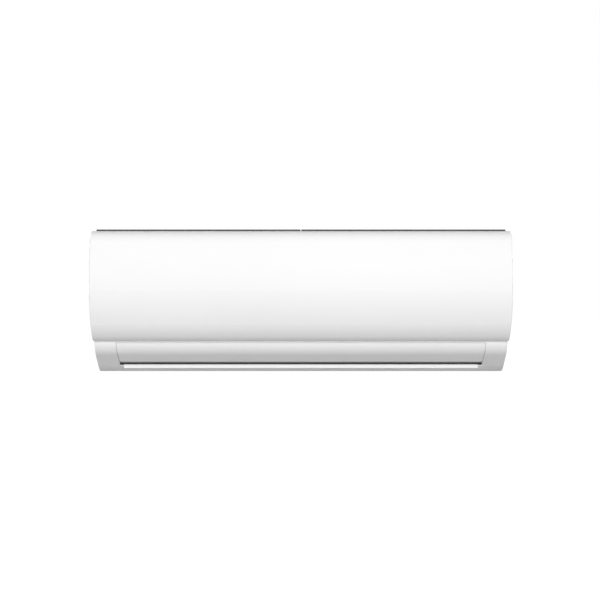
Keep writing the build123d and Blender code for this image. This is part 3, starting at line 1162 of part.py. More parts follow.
with BuildPart() as pipe_clip:
    with BuildSketch(section(CLIP_X - CLIP_WIDTH / 2)):
        clip_depth = CHANNEL_DEPTH - SEAT
        with Locations(at((clip_depth + PIPE_DEPTH) / 2 - CLIP_WIDTH / 2, (LIQUID_LEVEL + GAS_LEVEL) / 2)):
            RectangleRounded(clip_depth - PIPE_DEPTH + CLIP_WIDTH, LIQUID_LEVEL - GAS_LEVEL + 2 * CLIP_WIDTH, 3)
        with Locations(at(PIPE_DEPTH, LIQUID_LEVEL)):
            Circle(LIQUID_RADIUS + LOOSE, mode=Mode.SUBTRACT)
        with Locations(at(PIPE_DEPTH, GAS_LEVEL)):
            Circle(GAS_RADIUS + LOOSE, mode=Mode.SUBTRACT)
    extrude(amount=CLIP_WIDTH)
pipe_clip.part.label = "pipe_clip"
export_step(pipe_clip.part, "parts/pipe_clip.step")

# Drain pan: trough under the coil, ceiling of the air outlet, louver hanger, spigot and plug

with BuildPart() as drain_pan:
    tongue = (
        FAN_DEPTH + (FAN_RADIUS + TONGUE_GAP) * cos(radians(TONGUE_ANGLE)),
        FAN_HEIGHT - (FAN_RADIUS + TONGUE_GAP) * sin(radians(TONGUE_ANGLE)),
    )
    trough = [
        at(PAN_FRONT, PAN_BOTTOM),
        at(PAN_FRONT, PAN_TOP),
        at(PAN_FRONT - PAN_WALL, PAN_TOP),
        at(PAN_FRONT - PAN_WALL, PAN_BOTTOM + PAN_WALL),
        at(PAN_BACK + PAN_WALL, PAN_BOTTOM + PAN_WALL),
        at(PAN_BACK + PAN_WALL, PAN_TOP),
        at(PAN_BACK, PAN_TOP),
    ]
    ceiling_end = louver_point(LOUVER_CHORD - 2, WALL_SETBACK + 1)
    pan_left, pan_right = AIR_LEFT + WALL + SEAT, AIR_RIGHT - WALL - SEAT
    with BuildSketch(section(pan_left)):
        Polygon(
            *trough,
            at(PAN_BACK, tongue[1] + 2 * PAN_WALL),
            at(tongue[0] + 2 * PAN_WALL, tongue[1] + 2 * PAN_WALL),
            at(*tongue),
            at(*ceiling_end),
            at(ceiling_end[0] + PAN_WALL, ceiling_end[1] + PAN_WALL / 2),
            at(PAN_BACK + 1.5 * PAN_WALL, PAN_BOTTOM - 6 * PAN_WALL),
            at((PAN_BACK + PAN_FRONT) / 2, PAN_BOTTOM),
            align=None,
        )
    extrude(amount=pan_right - pan_left)
    with BuildSketch(section(PAN_LEFT)):
        Polygon(*trough, at(PAN_BACK, PAN_BOTTOM), align=None)
    extrude(amount=PAN_RIGHT - PAN_LEFT)
    with BuildSketch(section(PAN_LEFT), section(PAN_RIGHT - PAN_WALL)):
        with Locations(at((PAN_BACK + PAN_FRONT) / 2, (PAN_BOTTOM + PAN_TOP) / 2)):
            Rectangle(PAN_FRONT - PAN_BACK, PAN_TOP - PAN_BOTTOM)
    extrude(amount=PAN_WALL)
    with BuildSketch(section(VANE_MIDDLE - HANGER_WIDTH / 2)):
        with Locations(at(*PIVOT)):
            Circle(BEARING_RADIUS - 1)
        Polygon(
            at(PIVOT[0] - 5, PIVOT[1] + 3),
            at(ceiling_end[0] - 6, ceiling_end[1] + 15),
            at(ceiling_end[0] - 1, ceiling_end[1] + 6),
            at(PIVOT[0] + 5, PIVOT[1] - 3),
            align=None,
        )
        with Locations(at(*PIVOT)):
            Circle(LOUVER_PIN_RADIUS + RUNNING, mode=Mode.SUBTRACT)
    extrude(amount=HANGER_WIDTH)
    with BuildSketch(front(PAN_BACK)):
        with Locations((SPIGOT_X, spigot_height)):
            Circle(SPIGOT_RADIUS)
    extrude(amount=-SPIGOT_LENGTH)
    with BuildSketch(front(PAN_BACK + PAN_WALL)):
        with Locations((SPIGOT_X, spigot_height)):
            Circle(SPIGOT_BORE)
    extrude(amount=-SPIGOT_LENGTH - PAN_WALL, mode=Mode.SUBTRACT)
    with BuildSketch(section(PAN_RIGHT)):
        with Locations(at((PAN_BACK + PAN_FRONT) / 2, spigot_height)):
            Circle(PLUG_RADIUS)
    extrude(amount=-PAN_WALL, mode=Mode.SUBTRACT)
drain_pan.part.label = "drain_pan"
export_step(drain_pan.part, "parts/drain_pan.step")

with BuildPart() as drain_plug:
    for x, radius, length in ((PAN_RIGHT, PLUG_RADIUS, -2 * PAN_WALL), (PAN_RIGHT, PLUG_RADIUS + SEAM, PAN_WALL / 2)):
        with BuildSketch(section(x)):
            with Locations(at((PAN_BACK + PAN_FRONT) / 2, spigot_height)):
                Circle(radius)
        extrude(amount=length)
drain_plug.part.label = "drain_plug"
export_step(drain_plug.part, "parts/drain_plug.step")

# Louver: curved flap with stiffening ribs, three arms on one pivot line, and its stepper motor

arm_right = BEARING_X - SEAT
with BuildPart() as louver:
    with BuildSketch(section(-LOUVER_TOP_X)):
        with BuildLine():
            top_outer, low_outer, heading = lower_curve(0, LOUVER_TOP_HEADING, LOUVER_STRAIGHT)
            top_inner, low_inner, heading = lower_curve(LOUVER_SHELL, LOUVER_TOP_HEADING, LOUVER_STRAIGHT)
            Line(top_outer, top_inner)
            Line(low_outer, low_inner)
        make_face()
    extrude(amount=2 * LOUVER_TOP_X)
    with BuildSketch(LOUVER_FACE) as louver_face:
        louver_outline(0, 0)
        fillet(louver_face.vertices().sort_by(Axis.Y)[:2], LOUVER_CORNER)
    extrude(amount=DEPTH / 4, both=True, mode=Mode.INTERSECT)
    # stiffening ribs
    with BuildSketch(section(-LOUVER_LOW_X + LOUVER_ARM)):
        for heading in RIB_HEADINGS:
            half = degrees(RIB_WIDTH / LOWER_RADIUS) / 2
            Polygon(
                at(*lower_point(heading - half, LOUVER_SHELL / 2)),
                at(*lower_point(heading + half, LOUVER_SHELL / 2)),
                at(*lower_point(heading + half, LOUVER_SHELL + RIB_HEIGHT)),
                at(*lower_point(heading - half, LOUVER_SHELL + RIB_HEIGHT)),
                align=None,
            )
    extrude(amount=2 * (LOUVER_LOW_X - LOUVER_ARM))
    # arms and pins
    arms = (
        (-LOUVER_LOW_X, -BEARING_X - BEARING_WIDTH - SEAM),
        (MID_ARM_X, MID_ARM_X - HANGER_WIDTH - 2 * SEAM),
        (LOUVER_LOW_X - LOUVER_ARM, arm_right),
    )
    for x, pin_end in arms:
        with BuildSketch(section(x)):
            Polygon(
                at(*louver_point(0.07 * LOUVER_CHORD, 1)),
                at(*louver_point(0.47 * LOUVER_CHORD, -3.5)),
                at(*louver_point(0.64 * LOUVER_CHORD, -3.8)),
                at(*louver_point(LOUVER_SHARE * LOUVER_CHORD + ARM_RADIUS, LOUVER_SETBACK)),
                at(*louver_point(LOUVER_SHARE * LOUVER_CHORD - ARM_RADIUS, LOUVER_SETBACK)),
                align=None,
            )
            with Locations(at(*PIVOT)):
                Circle(ARM_RADIUS)
        extrude(amount=LOUVER_ARM)
        with BuildSketch(section(x)):
            with Locations(at(*PIVOT)):
                Circle(ARM_RADIUS if pin_end == arm_right else LOUVER_PIN_RADIUS)
        extrude(amount=pin_end - x)
    with BuildSketch(section(LOUVER_LOW_X - LOUVER_ARM)):
        with Locations(at(*PIVOT)):
            Circle(LOUVER_PIN_RADIUS)
    extrude(amount=arm_right - LOUVER_LOW_X + LOUVER_ARM, mode=Mode.SUBTRACT)
louver.part.label = "louver"
export_step(louver.part, "parts/louver.step")

stepper_x = BEARING_X + BEARING_WIDTH
with BuildPart() as louver_drive_shaft:
    with BuildSketch(section(LOUVER_LOW_X - LOUVER_ARM)):
        with Locations(at(*PIVOT)):
            Circle(LOUVER_PIN_RADIUS)
    extrude(amount=stepper_x + STEPPER_BORE - SEAM - LOUVER_LOW_X + LOUVER_ARM)
louver_drive_shaft.part.label = "louver_drive_shaft"
export_step(louver_drive_shaft.part, "parts/louver_drive_shaft.step")

stepper_centre = louver_point(LOUVER_SHARE * LOUVER_CHORD, LOUVER_SETBACK + STEPPER_OFFSET)
with BuildPart() as louver_motor:
    with BuildSketch(section(stepper_x)):
        with Locations(at(*stepper_centre)):
            Circle(STEPPER_RADIUS)
    extrude(amount=STEPPER_LENGTH)
    with BuildSketch(section(stepper_x)):
        for side in (-1, 1):
            along = LOUVER_SHARE * LOUVER_CHORD + side * STEPPER_EAR
            with Locations(at(*louver_point(along, LOUVER_SETBACK + STEPPER_OFFSET))):
                Circle(2 * SCREW_RADIUS)
        Polygon(
            *[
                at(*louver_point(LOUVER_SHARE * LOUVER_CHORD + a * STEPPER_EAR,
                                 LOUVER_SETBACK + STEPPER_OFFSET + b * 2 * SCREW_RADIUS))
                for a, b in ((-1, -1), (1, -1), (1, 1), (-1, 1))
            ],
            align=None,
        )
        for side in (-1, 1):
            along = LOUVER_SHARE * LOUVER_CHORD + side * STEPPER_EAR
            with Locations(at(*louver_point(along, LOUVER_SETBACK + STEPPER_OFFSET))):
                Circle(SCREW_RADIUS, mode=Mode.SUBTRACT)
    extrude(amount=SHEET)
    with BuildSketch(section(stepper_x)):
        with Locations(at(*PIVOT)):
            Circle(LOUVER_PIN_RADIUS + RUNNING)
    extrude(amount=STEPPER_BORE, mode=Mode.SUBTRACT)
louver_motor.part.label = "louver_motor"
export_step(louver_motor.part, "parts/louver_motor.step")

# Vertical vanes: six on each side of the hanger, tied together by a rod per side

rod_line = VANE_PIVOT - ROD_OFFSET
trailing = VANE_PIVOT - VANE_HALF
for i, x in enumerate(VANE_XS):
    with BuildPart() as vane:
        with BuildSketch(section(x - VANE_THICKNESS / 2)):
            Polygon(
                at(*duct_point(trailing, VANE_LIFT)),
                at(*duct_point(VANE_PIVOT + VANE_HALF, VANE_LIFT)),
                at(*duct_point(VANE_PIVOT - SEAM, VANE_HEIGHT)),
                at(*duct_point(trailing, VANE_HEIGHT)),
                align=None,
            )
            Polygon(
                *[
                    at(*duct_point(trailing + a, ROD_LEVEL - SEAT + b))
                    for a, b in ((-1, 0), (NOTCH_DEPTH, 0), (NOTCH_DEPTH, NOTCH_HEIGHT), (-1, NOTCH_HEIGHT))
                ],
                align=None,
                mode=Mode.SUBTRACT,
            )
        extrude(amount=VANE_THICKNESS)
        fillet(vane.edges().filter_by(Axis.X).sort_by(Axis.Z)[-2:], 1)
        with BuildSketch(DUCT.offset(ROD_LEVEL - SEAT)):
            with Locations((x, rod_line)):
                Circle(ROD_PIN_RADIUS)
        extrude(amount=NOTCH_HEIGHT)
        with BuildSketch(DUCT.offset(SEAT)):
            with Locations((x, VANE_PIVOT)):
                Circle(VANE_FOOT_RADIUS)
        extrude(amount=VANE_FOOT)
        with BuildSketch(DUCT.offset(-WALL - SEAM)):
            with Locations((x, VANE_PIVOT)):
                Circle(VANE_PIN_RADIUS)
        extrude(amount=WALL + SEAM + SEAT + VANE_FOOT)
    vane.part.label = f"vane_{i + 1:02d}"
    export_step(vane.part, f"parts/vane_{i + 1:02d}.step")

for word, group in (("left", VANE_XS[:VANES_PER_GROUP]), ("right", VANE_XS[VANES_PER_GROUP:])):
    with BuildPart() as vane_rod:
        with BuildSketch(DUCT.offset(ROD_LEVEL)):
            middle = (group[0] + group[-1]) / 2
            with Locations((middle, rod_line)):
                Rectangle(group[-1] - group[0] + 2 * VANE_FOOT_RADIUS + ROD_THICKNESS, ROD_WIDTH)
            with Locations((middle, rod_line - ROD_WIDTH)):
                RectangleRounded(TAB_SIZE, 2 * ROD_WIDTH, ROD_WIDTH / 2)
            with Locations(*[(x, rod_line) for x in group]):
                Circle(ROD_PIN_RADIUS + ROD_PLAY, mode=Mode.SUBTRACT)
        extrude(amount=ROD_THICKNESS)
    vane_rod.part.label = f"vane_rod_{word}"
    export_step(vane_rod.part, f"parts/vane_rod_{word}.step")

# Control box at the right end, its covers, board and terminal block

box_middle = (BOX_LEFT + BOX_RIGHT) / 2
with BuildPart() as control_box:
    with BuildSketch(front(BOX_BACK)):
        with Locations((box_middle, (BOX_BOTTOM + BOX_TOP) / 2)):
            Rectangle(BOX_RIGHT - BOX_LEFT, BOX_TOP - BOX_BOTTOM)
    extrude(amount=BOX_FRONT - BOX_BACK)
    with BuildSketch(front(BOX_BACK + BOX_WALL)):
        for low, high in ((BOX_BOTTOM, BOX_SPLIT), (BOX_SPLIT, BOX_TOP)):
            with Locations((box_middle, (low + high) / 2)):
                Rectangle(BOX_RIGHT - BOX_LEFT - 2 * BOX_WALL, high - low - 2 * BOX_WALL)
    extrude(amount=BOX_FRONT - BOX_BACK, mode=Mode.SUBTRACT)
    # notch for the supply cord, open at the lower edge
    with BuildSketch(front(BOX_BACK)):
        with Locations((box_middle, BOX_BOTTOM)):
            Rectangle(CORD_NOTCH_X, 2 * CORD_NOTCH_HEIGHT)
    extrude(amount=BOX_WALL, mode=Mode.SUBTRACT)
    board_mounts = [
        (-d, h - HEIGHT / 2)
        for d in (BOARD_BACK + BOARD_INSET, BOARD_FRONT - BOARD_INSET)
        for h in (BOARD_LOW + BOARD_INSET, BOARD_HIGH - BOARD_INSET)
    ]
    with BuildSketch(section(BOX_LEFT + BOX_WALL)):
        with Locations(*board_mounts):
            Circle(2 * SCREW_RADIUS)
    extrude(amount=BOARD_LIFT)
    # wire opening between the two chambers
    with BuildSketch(level(BOX_SPLIT - BOX_WALL)):
        with Locations((box_middle, -BOARD_BACK - BOARD_INSET)):
            Circle(BOX_HOLE_RADIUS)
    extrude(amount=2 * BOX_WALL, mode=Mode.SUBTRACT)
control_box.part.label = "control_box"
export_step(control_box.part, "parts/control_box.step")

for word, low, high in (
    ("control_box_cover", BOX_SPLIT + SEAM / 2, BOX_TOP),
    ("terminal_cover", BOX_BOTTOM, BOX_SPLIT - SEAM / 2),
):
    with BuildPart() as cover:
        with BuildSketch(front(BOX_FRONT + COVER_GAP)):
            with Locations((box_middle, (low + high) / 2)):
                RectangleRounded(BOX_RIGHT - BOX_LEFT, high - low, BOX_WALL)
        extrude(amount=BOX_WALL)
        with BuildSketch(front(BOX_FRONT + COVER_GAP)):
            inner = BOX_WALL * 1.5 + SEAT
            with Locations(*[(x, (low + high) / 2) for x in (BOX_LEFT + inner, BOX_RIGHT - inner)]):
                Rectangle(BOX_WALL, high - low - 4 * BOX_WALL)
        extrude(amount=-2 * BOX_WALL)
    cover.part.label = word
    export_step(cover.part, f"parts/{word}.step")

board_x = BOX_LEFT + BOX_WALL + BOARD_LIFT
board_middle = (BOARD_LOW + BOARD_HIGH) / 2
with BuildPart() as control_board:
    with BuildSketch(section(board_x)):
        with Locations(at((BOARD_BACK + BOARD_FRONT) / 2, board_middle)):
            Rectangle(BOARD_FRONT - BOARD_BACK, BOARD_HIGH - BOARD_LOW)
        with Locations(*board_mounts):
            Circle(SCREW_RADIUS, mode=Mode.SUBTRACT)
    extrude(amount=BOARD_THICKNESS)
control_board.part.label = "control_board"
export_step(control_board.part, "parts/control_board.step")

# transformer, relays, connectors: (depth, height, size in depth, size in height, reach in x)
BOARD_BLOCKS = (
    (92.0, BOARD_LOW + 20.0, 30.0, 24.0, 26.0),
    (124.0, BOARD_LOW + 16.0, 20.0, 15.0, 16.0),
    (148.0, BOARD_LOW + 16.0, 20.0, 15.0, 16.0),
    (88.0, BOARD_HIGH - 20.0, 12.0, 20.0, 10.0),
    (110.0, BOARD_HIGH - 16.0, 18.0, 8.0, 9.0),
    (134.0, BOARD_HIGH - 16.0, 18.0, 8.0, 9.0),
    (112.0, board_middle + 6.0, 16.0, 16.0, 2.0),
)
# capacitors: (depth, height, radius, reach in x)
BOARD_CANS = (
    (88.0, board_middle, 8.0, 24.0),
    (142.0, board_middle, 5.0, 16.0),
    (154.0, board_middle, 5.0, 16.0),
)
with BuildPart() as board_components:
    for depth, height, size_d, size_h, reach in BOARD_BLOCKS:
        with BuildSketch(section(board_x + BOARD_THICKNESS)):
            with Locations(at(depth, height)):
                RectangleRounded(size_d, size_h, 1)
        extrude(amount=reach)
    for depth, height, radius, reach in BOARD_CANS:
        with BuildSketch(section(board_x + BOARD_THICKNESS)):
            with Locations(at(depth, height)):
                Circle(radius)
        extrude(amount=reach)
board_components.part.label = "board_components"
export_step(board_components.part, "parts/board_components.step")

way_width = (BLOCK_RIGHT - BLOCK_LEFT) / BLOCK_WAYS
block_middle = (BLOCK_LEFT + BLOCK_RIGHT) / 2
with BuildPart() as terminal_block:
    with BuildSketch(level(BOX_BOTTOM + BOX_WALL)):
        with Locations((block_middle, -(BLOCK_BACK + BLOCK_FRONT) / 2)):
            Rectangle(BLOCK_RIGHT - BLOCK_LEFT, BLOCK_FRONT - BLOCK_BACK)
    extrude(amount=BLOCK_HIGH - BOX_BOTTOM - BOX_WALL)
    with BuildSketch(level(BLOCK_HIGH)):
        with Locations((block_middle, -(BLOCK_BACK + BLOCK_FRONT) / 2)):
            with GridLocations(way_width, BLOCK_FRONT - BLOCK_BACK - TAB_SIZE, BLOCK_WAYS, 2):
                Rectangle(way_width - 2, TAB_SIZE + 2)
    extrude(amount=-TAB_SIZE / 2, mode=Mode.SUBTRACT)
    with BuildSketch(level(BLOCK_HIGH - TAB_SIZE / 2)):
        with Locations((block_middle, -(BLOCK_BACK + BLOCK_FRONT) / 2)):
            with GridLocations(way_width, BLOCK_FRONT - BLOCK_BACK - TAB_SIZE, BLOCK_WAYS, 2):
                Circle(way_width / 2 - 1.5)
    extrude(amount=2)
terminal_block.part.label = "terminal_block"
export_step(terminal_block.part, "parts/terminal_block.step")

with BuildPart() as cord_clamp:
    with BuildSketch(front(CORD_CLAMP_DEPTH)):
        with Locations((box_middle, BOX_BOTTOM + BOX_WALL + CORD_CLAMP_HEIGHT)):
            Rectangle(BLOCK_RIGHT - BLOCK_LEFT, 2 * CORD_CLAMP_HEIGHT)
            Circle(BOX_HOLE_RADIUS - SEAM, mode=Mode.SUBTRACT)
    extrude(amount=TAB_SIZE)
cord_clamp.part.label = "cord_clamp"
export_step(cord_clamp.part, "parts/cord_clamp.step")

# Display board behind the panel and the manual button through the casing

with BuildPart() as display_board:
    with BuildSketch(front(DISPLAY_FRONT)):
        with Locations(((DISPLAY_LEFT + DISPLAY_RIGHT) / 2, (DISPLAY_LOW + DISPLAY_HIGH) / 2)):
            RectangleRounded(DISPLAY_RIGHT - DISPLAY_LEFT, DISPLAY_HIGH - DISPLAY_LOW, 2)
        with Locations(*DISPLAY_BOSSES):
            Circle(SCREW_RADIUS / 2, mode=Mode.SUBTRACT)
    extrude(amount=-BOARD_THICKNESS)
    with BuildSketch(front(DISPLAY_FRONT)):
        with Locations((BUTTON_X, BUTTON_HEIGHT)):
            Rectangle(SWITCH_SIZE, SWITCH_SIZE)
        with Locations(((DISPLAY_LEFT + DISPLAY_RIGHT) / 2 + 4, BUTTON_HEIGHT)):
            Rectangle(3 * SWITCH_SIZE, 2 * SWITCH_SIZE)
        with Locations((DISPLAY_RIGHT - SWITCH_SIZE, BUTTON_HEIGHT - SWITCH_SIZE)):
            RectangleRounded(SWITCH_SIZE, SWITCH_SIZE, 1)
    extrude(amount=SWITCH_TOP)
display_board.part.label = "display_board"
export_step(display_board.part, "parts/display_board.step")

cap_front = brow_depth(BUTTON_HEIGHT, PANEL_THICKNESS + PANEL_GAP) - BUTTON_SINK
flange_front = brow_depth(BUTTON_HEIGHT + BUTTON_FLANGE_RADIUS, case_skin) - SEAT
switch_top = DISPLAY_FRONT + SWITCH_TOP
with BuildPart() as manual_button:
    for radius, start, end in (
        (BUTTON_FLANGE_RADIUS / 3, switch_top + BUTTON_TRAVEL + SEAT, flange_front),
        (BUTTON_FLANGE_RADIUS, flange_front - BUTTON_FLANGE, flange_front),
        (BUTTON_RADIUS, flange_front, cap_front),
    ):
        with BuildSketch(front(start)):
            with Locations((BUTTON_X, BUTTON_HEIGHT)):
                Circle(radius)
        extrude(amount=end - start)
    fillet(manual_button.edges().filter_by(GeomType.CIRCLE).sort_by(Axis.Y)[:1], SHEET / 2)
manual_button.part.label = "manual_button"
export_step(manual_button.part, "parts/manual_button.step")

# Sensors: room air in a clip on the control box, coil temperature beside the coil's end plate

with BuildPart() as temperature_sensors:
    clip_x = (SENSOR_RADIUS + SHEET) * 2
    with BuildSketch(level(ROOM_SENSOR_HEIGHT - TAB_SIZE / 2)):
        with Locations((BOX_LEFT - clip_x / 2, -ROOM_SENSOR_DEPTH)):
            Rectangle(clip_x, TAB_SIZE)
    extrude(amount=TAB_SIZE)
    with BuildSketch(level(ROOM_SENSOR_HEIGHT - SENSOR_LENGTH / 2)):
        with Locations((BOX_LEFT - clip_x / 2, -ROOM_SENSOR_DEPTH)):
            Circle(SENSOR_RADIUS)
    extrude(amount=SENSOR_LENGTH)
    with BuildSketch(front(lower[0][0] + SEAM)):
        with Locations((COIL_RIGHT + PLATE_THICKNESS + COIL_SENSOR_RADIUS, ROOM_SENSOR_HEIGHT)):
            Circle(COIL_SENSOR_RADIUS)
    extrude(amount=SENSOR_LENGTH)
temperature_sensors.part.label = "temperature_sensors"
export_step(temperature_sensors.part, "parts/temperature_sensors.step")

# Mounting plate on the wall, with the two hooks the chassis hangs on

with BuildPart() as mounting_plate:
    with BuildSketch(front(0)):
        with Locations((0, (PLATE_LOW + PLATE_HIGH) / 2)):
            RectangleRounded(2 * PLATE_X, PLATE_HIGH - PLATE_LOW, 3)
            with GridLocations(PLATE_SLOT_PITCH_X, PLATE_SLOT_PITCH_Z, PLATE_SLOT_COLUMNS, 2):
                SlotOverall(PLATE_SLOT_LENGTH, PLATE_SLOT_WIDTH, mode=Mode.SUBTRACT)
            with GridLocations(SCREW_SPACING_X, SCREW_SPACING_Z, 2, 2):
                Circle(WALL_SCREW_RADIUS, mode=Mode.SUBTRACT)
    extrude(amount=SHEET)
    hook_out = BACK_DEPTH + WALL + SEAM + SHEET
    for x in mirrored(HOOK_X):
        with BuildSketch(section(x - HOOK_WIDTH / 2)):
            Polygon(
                at(0, HOOK_HEIGHT),
                at(hook_out, HOOK_HEIGHT),
                at(hook_out, HOOK_HEIGHT + SHEET + HOOK_LIP),
                at(hook_out - SHEET, HOOK_HEIGHT + SHEET + HOOK_LIP),
                at(hook_out - SHEET, HOOK_HEIGHT + SHEET),
                at(0, HOOK_HEIGHT + SHEET),
                align=None,
            )
        extrude(amount=HOOK_WIDTH)
mounting_plate.part.label = "mounting_plate"
export_step(mounting_plate.part, "parts/mounting_plate.step")

# Screws: three up through the casing's bottom, two in the motor clamp

with BuildPart() as fixing_screws:
    for x in BOTTOM_SCREWS:
        with Locations(space(x, BOTTOM_SCREW_DEPTH, PAD_SINK)):
            Cylinder(SCREW_HEAD_RADIUS, SCREW_HEAD, align=(Align.CENTER, Align.CENTER, Align.MAX))
            Cylinder(SCREW_RADIUS - RUNNING, SCREW_LENGTH, align=(Align.CENTER, Align.CENTER, Align.MIN))
    clamp_front = FAN_DEPTH + SEAT + CLAMP_SHEET
    for side in (-1, 1):
        for start, radius, length in (
            (clamp_front, SCREW_HEAD_RADIUS, SCREW_HEAD),
            (clamp_front, SCREW_RADIUS - RUNNING, -SCREW_LENGTH),
        ):
            with BuildSketch(front(start)):
                with Locations((CLAMP_X, FAN_HEIGHT + side * CLAMP_SCREW)):
                    Circle(radius)
            extrude(amount=length)
fixing_screws.part.label = "fixing_screws"
export_step(fixing_screws.part, "parts/fixing_screws.step")
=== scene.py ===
import bmesh
import bpy
import json
import math
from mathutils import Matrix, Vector


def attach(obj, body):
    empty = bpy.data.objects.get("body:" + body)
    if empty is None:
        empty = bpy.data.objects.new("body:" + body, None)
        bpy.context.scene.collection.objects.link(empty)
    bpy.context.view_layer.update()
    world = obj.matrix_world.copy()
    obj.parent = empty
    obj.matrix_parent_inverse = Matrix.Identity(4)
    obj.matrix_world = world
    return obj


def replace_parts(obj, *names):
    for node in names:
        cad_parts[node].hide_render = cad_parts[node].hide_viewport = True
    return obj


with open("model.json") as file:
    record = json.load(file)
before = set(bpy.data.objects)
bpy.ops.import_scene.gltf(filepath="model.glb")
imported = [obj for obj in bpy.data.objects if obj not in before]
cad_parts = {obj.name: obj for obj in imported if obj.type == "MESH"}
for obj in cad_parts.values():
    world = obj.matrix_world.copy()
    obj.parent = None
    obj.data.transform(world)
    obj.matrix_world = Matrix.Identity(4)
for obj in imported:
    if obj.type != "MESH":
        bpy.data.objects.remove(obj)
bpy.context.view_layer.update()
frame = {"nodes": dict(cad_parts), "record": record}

# Camera: at the height of the unit's upper edge, square to its front, tilted down a little

camera = bpy.data.objects.new("camera", bpy.data.cameras.new("camera"))
camera.data.sensor_width = 36.0
camera.data.lens = 77.82
camera.location = (-0.0019, -2.8012, 0.1438)
camera.rotation_euler = (math.radians(87.0), 0.0, 0.0)
bpy.context.scene.collection.objects.link(camera)
bpy.context.scene.camera = camera
bpy.context.scene.view_settings.view_transform = "Standard"


# Materials, all from nodes. Lengths are in metres, in the unit's own frame.

class Paint:
    """A material under construction: one Principled shader and what feeds it."""

    def __init__(self, name, color, roughness, metallic=0.0, **sockets):
        self.material = bpy.data.materials.new(name)
        self.material.use_nodes = True
        self.tree = self.material.node_tree
        self.shader = self.tree.nodes["Principled BSDF"]
        self.shader.inputs["Base Color"].default_value = (*color, 1.0)
        self.shader.inputs["Roughness"].default_value = roughness
        self.shader.inputs["Metallic"].default_value = metallic
        for socket, value in sockets.items():
            self.shader.inputs[socket.replace("_", " ")].default_value = value
        self.color = color
        self.place = self.node("ShaderNodeTexCoord").outputs["Object"]
        self.normal = None

    def node(self, kind, **settings):
        made = self.tree.nodes.new(kind)
        for setting, value in settings.items():
            setattr(made, setting, value)
        return made

    def link(self, source, target):
        self.tree.links.new(source, target)

    def stretched(self, scale):
        mapping = self.node("ShaderNodeMapping")
        mapping.inputs["Scale"].default_value = scale
        self.link(self.place, mapping.inputs["Vector"])
        return mapping.outputs["Vector"]

    def noise(self, scale, detail=3.0, stretch=None):
        texture = self.node("ShaderNodeTexNoise")
        texture.inputs["Scale"].default_value = scale
        texture.inputs["Detail"].default_value = detail
        self.link(self.stretched(stretch) if stretch else self.place, texture.inputs["Vector"])
        return texture.outputs["Fac"]

    def waves(self, period, axis):
        """Soft bands across an axis, one to each period."""
        texture = self.node("ShaderNodeTexWave", wave_type="BANDS", bands_direction=axis, wave_profile="SIN")
        texture.inputs["Scale"].default_value = math.pi / 10 / period
        self.link(self.place, texture.inputs["Vector"])
        return texture.outputs["Fac"]

    def cells(self, scale, feature="F1"):
        texture = self.node("ShaderNodeTexVoronoi", feature=feature)
        texture.inputs["Scale"].default_value = scale
        self.link(self.place, texture.inputs["Vector"])
        return texture

    def band(self, source, low, high, start=0.35, end=0.65):
        """A source's span from start to end, mapped to low to high."""
        scaled = self.node("ShaderNodeMapRange")
        scaled.inputs["From Min"].default_value = start
        scaled.inputs["From Max"].default_value = end
        scaled.inputs["To Min"].default_value = low
        scaled.inputs["To Max"].default_value = high
        self.link(source, scaled.inputs["Value"])
        return scaled.outputs["Result"]

    def greater(self, first, second):
        made = self.node("ShaderNodeMath", operation="MAXIMUM")
        self.link(first, made.inputs[0])
        self.link(second, made.inputs[1])
        return made.outputs["Value"]

    def tint(self, source, dark, light, start=0.3, end=0.7):
        """Base colour that runs from dark to light with a source."""
        ramp = self.node("ShaderNodeValToRGB")
        ramp.color_ramp.elements[0].position = start
        ramp.color_ramp.elements[1].position = end
        ramp.color_ramp.elements[0].color = (*dark, 1.0)
        ramp.color_ramp.elements[1].color = (*light, 1.0)
        self.link(source, ramp.inputs["Fac"])
        self.link(ramp.outputs["Color"], self.shader.inputs["Base Color"])

    def shade(self, share, source):
        """Base colour that varies round the paint's own by a share."""
        dark = [c * (1 - share) for c in self.color]
        light = [min(1.0, c * (1 + share)) for c in self.color]
        self.tint(source, dark, light)

    def rough(self, low, high, source):
        self.link(self.band(source, low, high), self.shader.inputs["Roughness"])

    def bump(self, source, height, strength):
        """Relief of a height in metres, on top of any before it."""
        made = self.node("ShaderNodeBump")
        made.inputs["Strength"].default_value = strength
        made.inputs["Distance"].default_value = height
        self.link(source, made.inputs["Height"])
        if self.normal:
            self.link(self.normal, made.inputs["Normal"])
        self.normal = made.outputs["Normal"]
        self.link(self.normal, self.shader.inputs["Normal"])


def gloss_plastic(name, color, roughness):
    """Polished moulded plastic: faint flow marks and a very fine orange peel."""
    p = Paint(name, color, roughness, Specular_IOR_Level=0.16)
    p.shade(0.012, p.noise(6.0, 2.0, (0.4, 1.0, 1.0)))
    p.rough(roughness * 0.9, roughness * 1.12, p.noise(35.0, 4.0))
    p.bump(p.noise(420.0, 2.0), 0.00002, 0.35)
    return p.material


def spark_plastic(name, color, roughness=0.55):
    """Moulded plastic with the fine pitted finish of a spark-eroded tool."""
    p = Paint(name, color, roughness, IOR=1.48)
    p.shade(0.05, p.noise(22.0, 4.0))
    p.rough(roughness * 0.88, min(1.0, roughness * 1.15), p.noise(90.0, 4.0))
    p.bump(p.noise(1500.0, 2.0), 0.00006, 0.6)
    return p.material


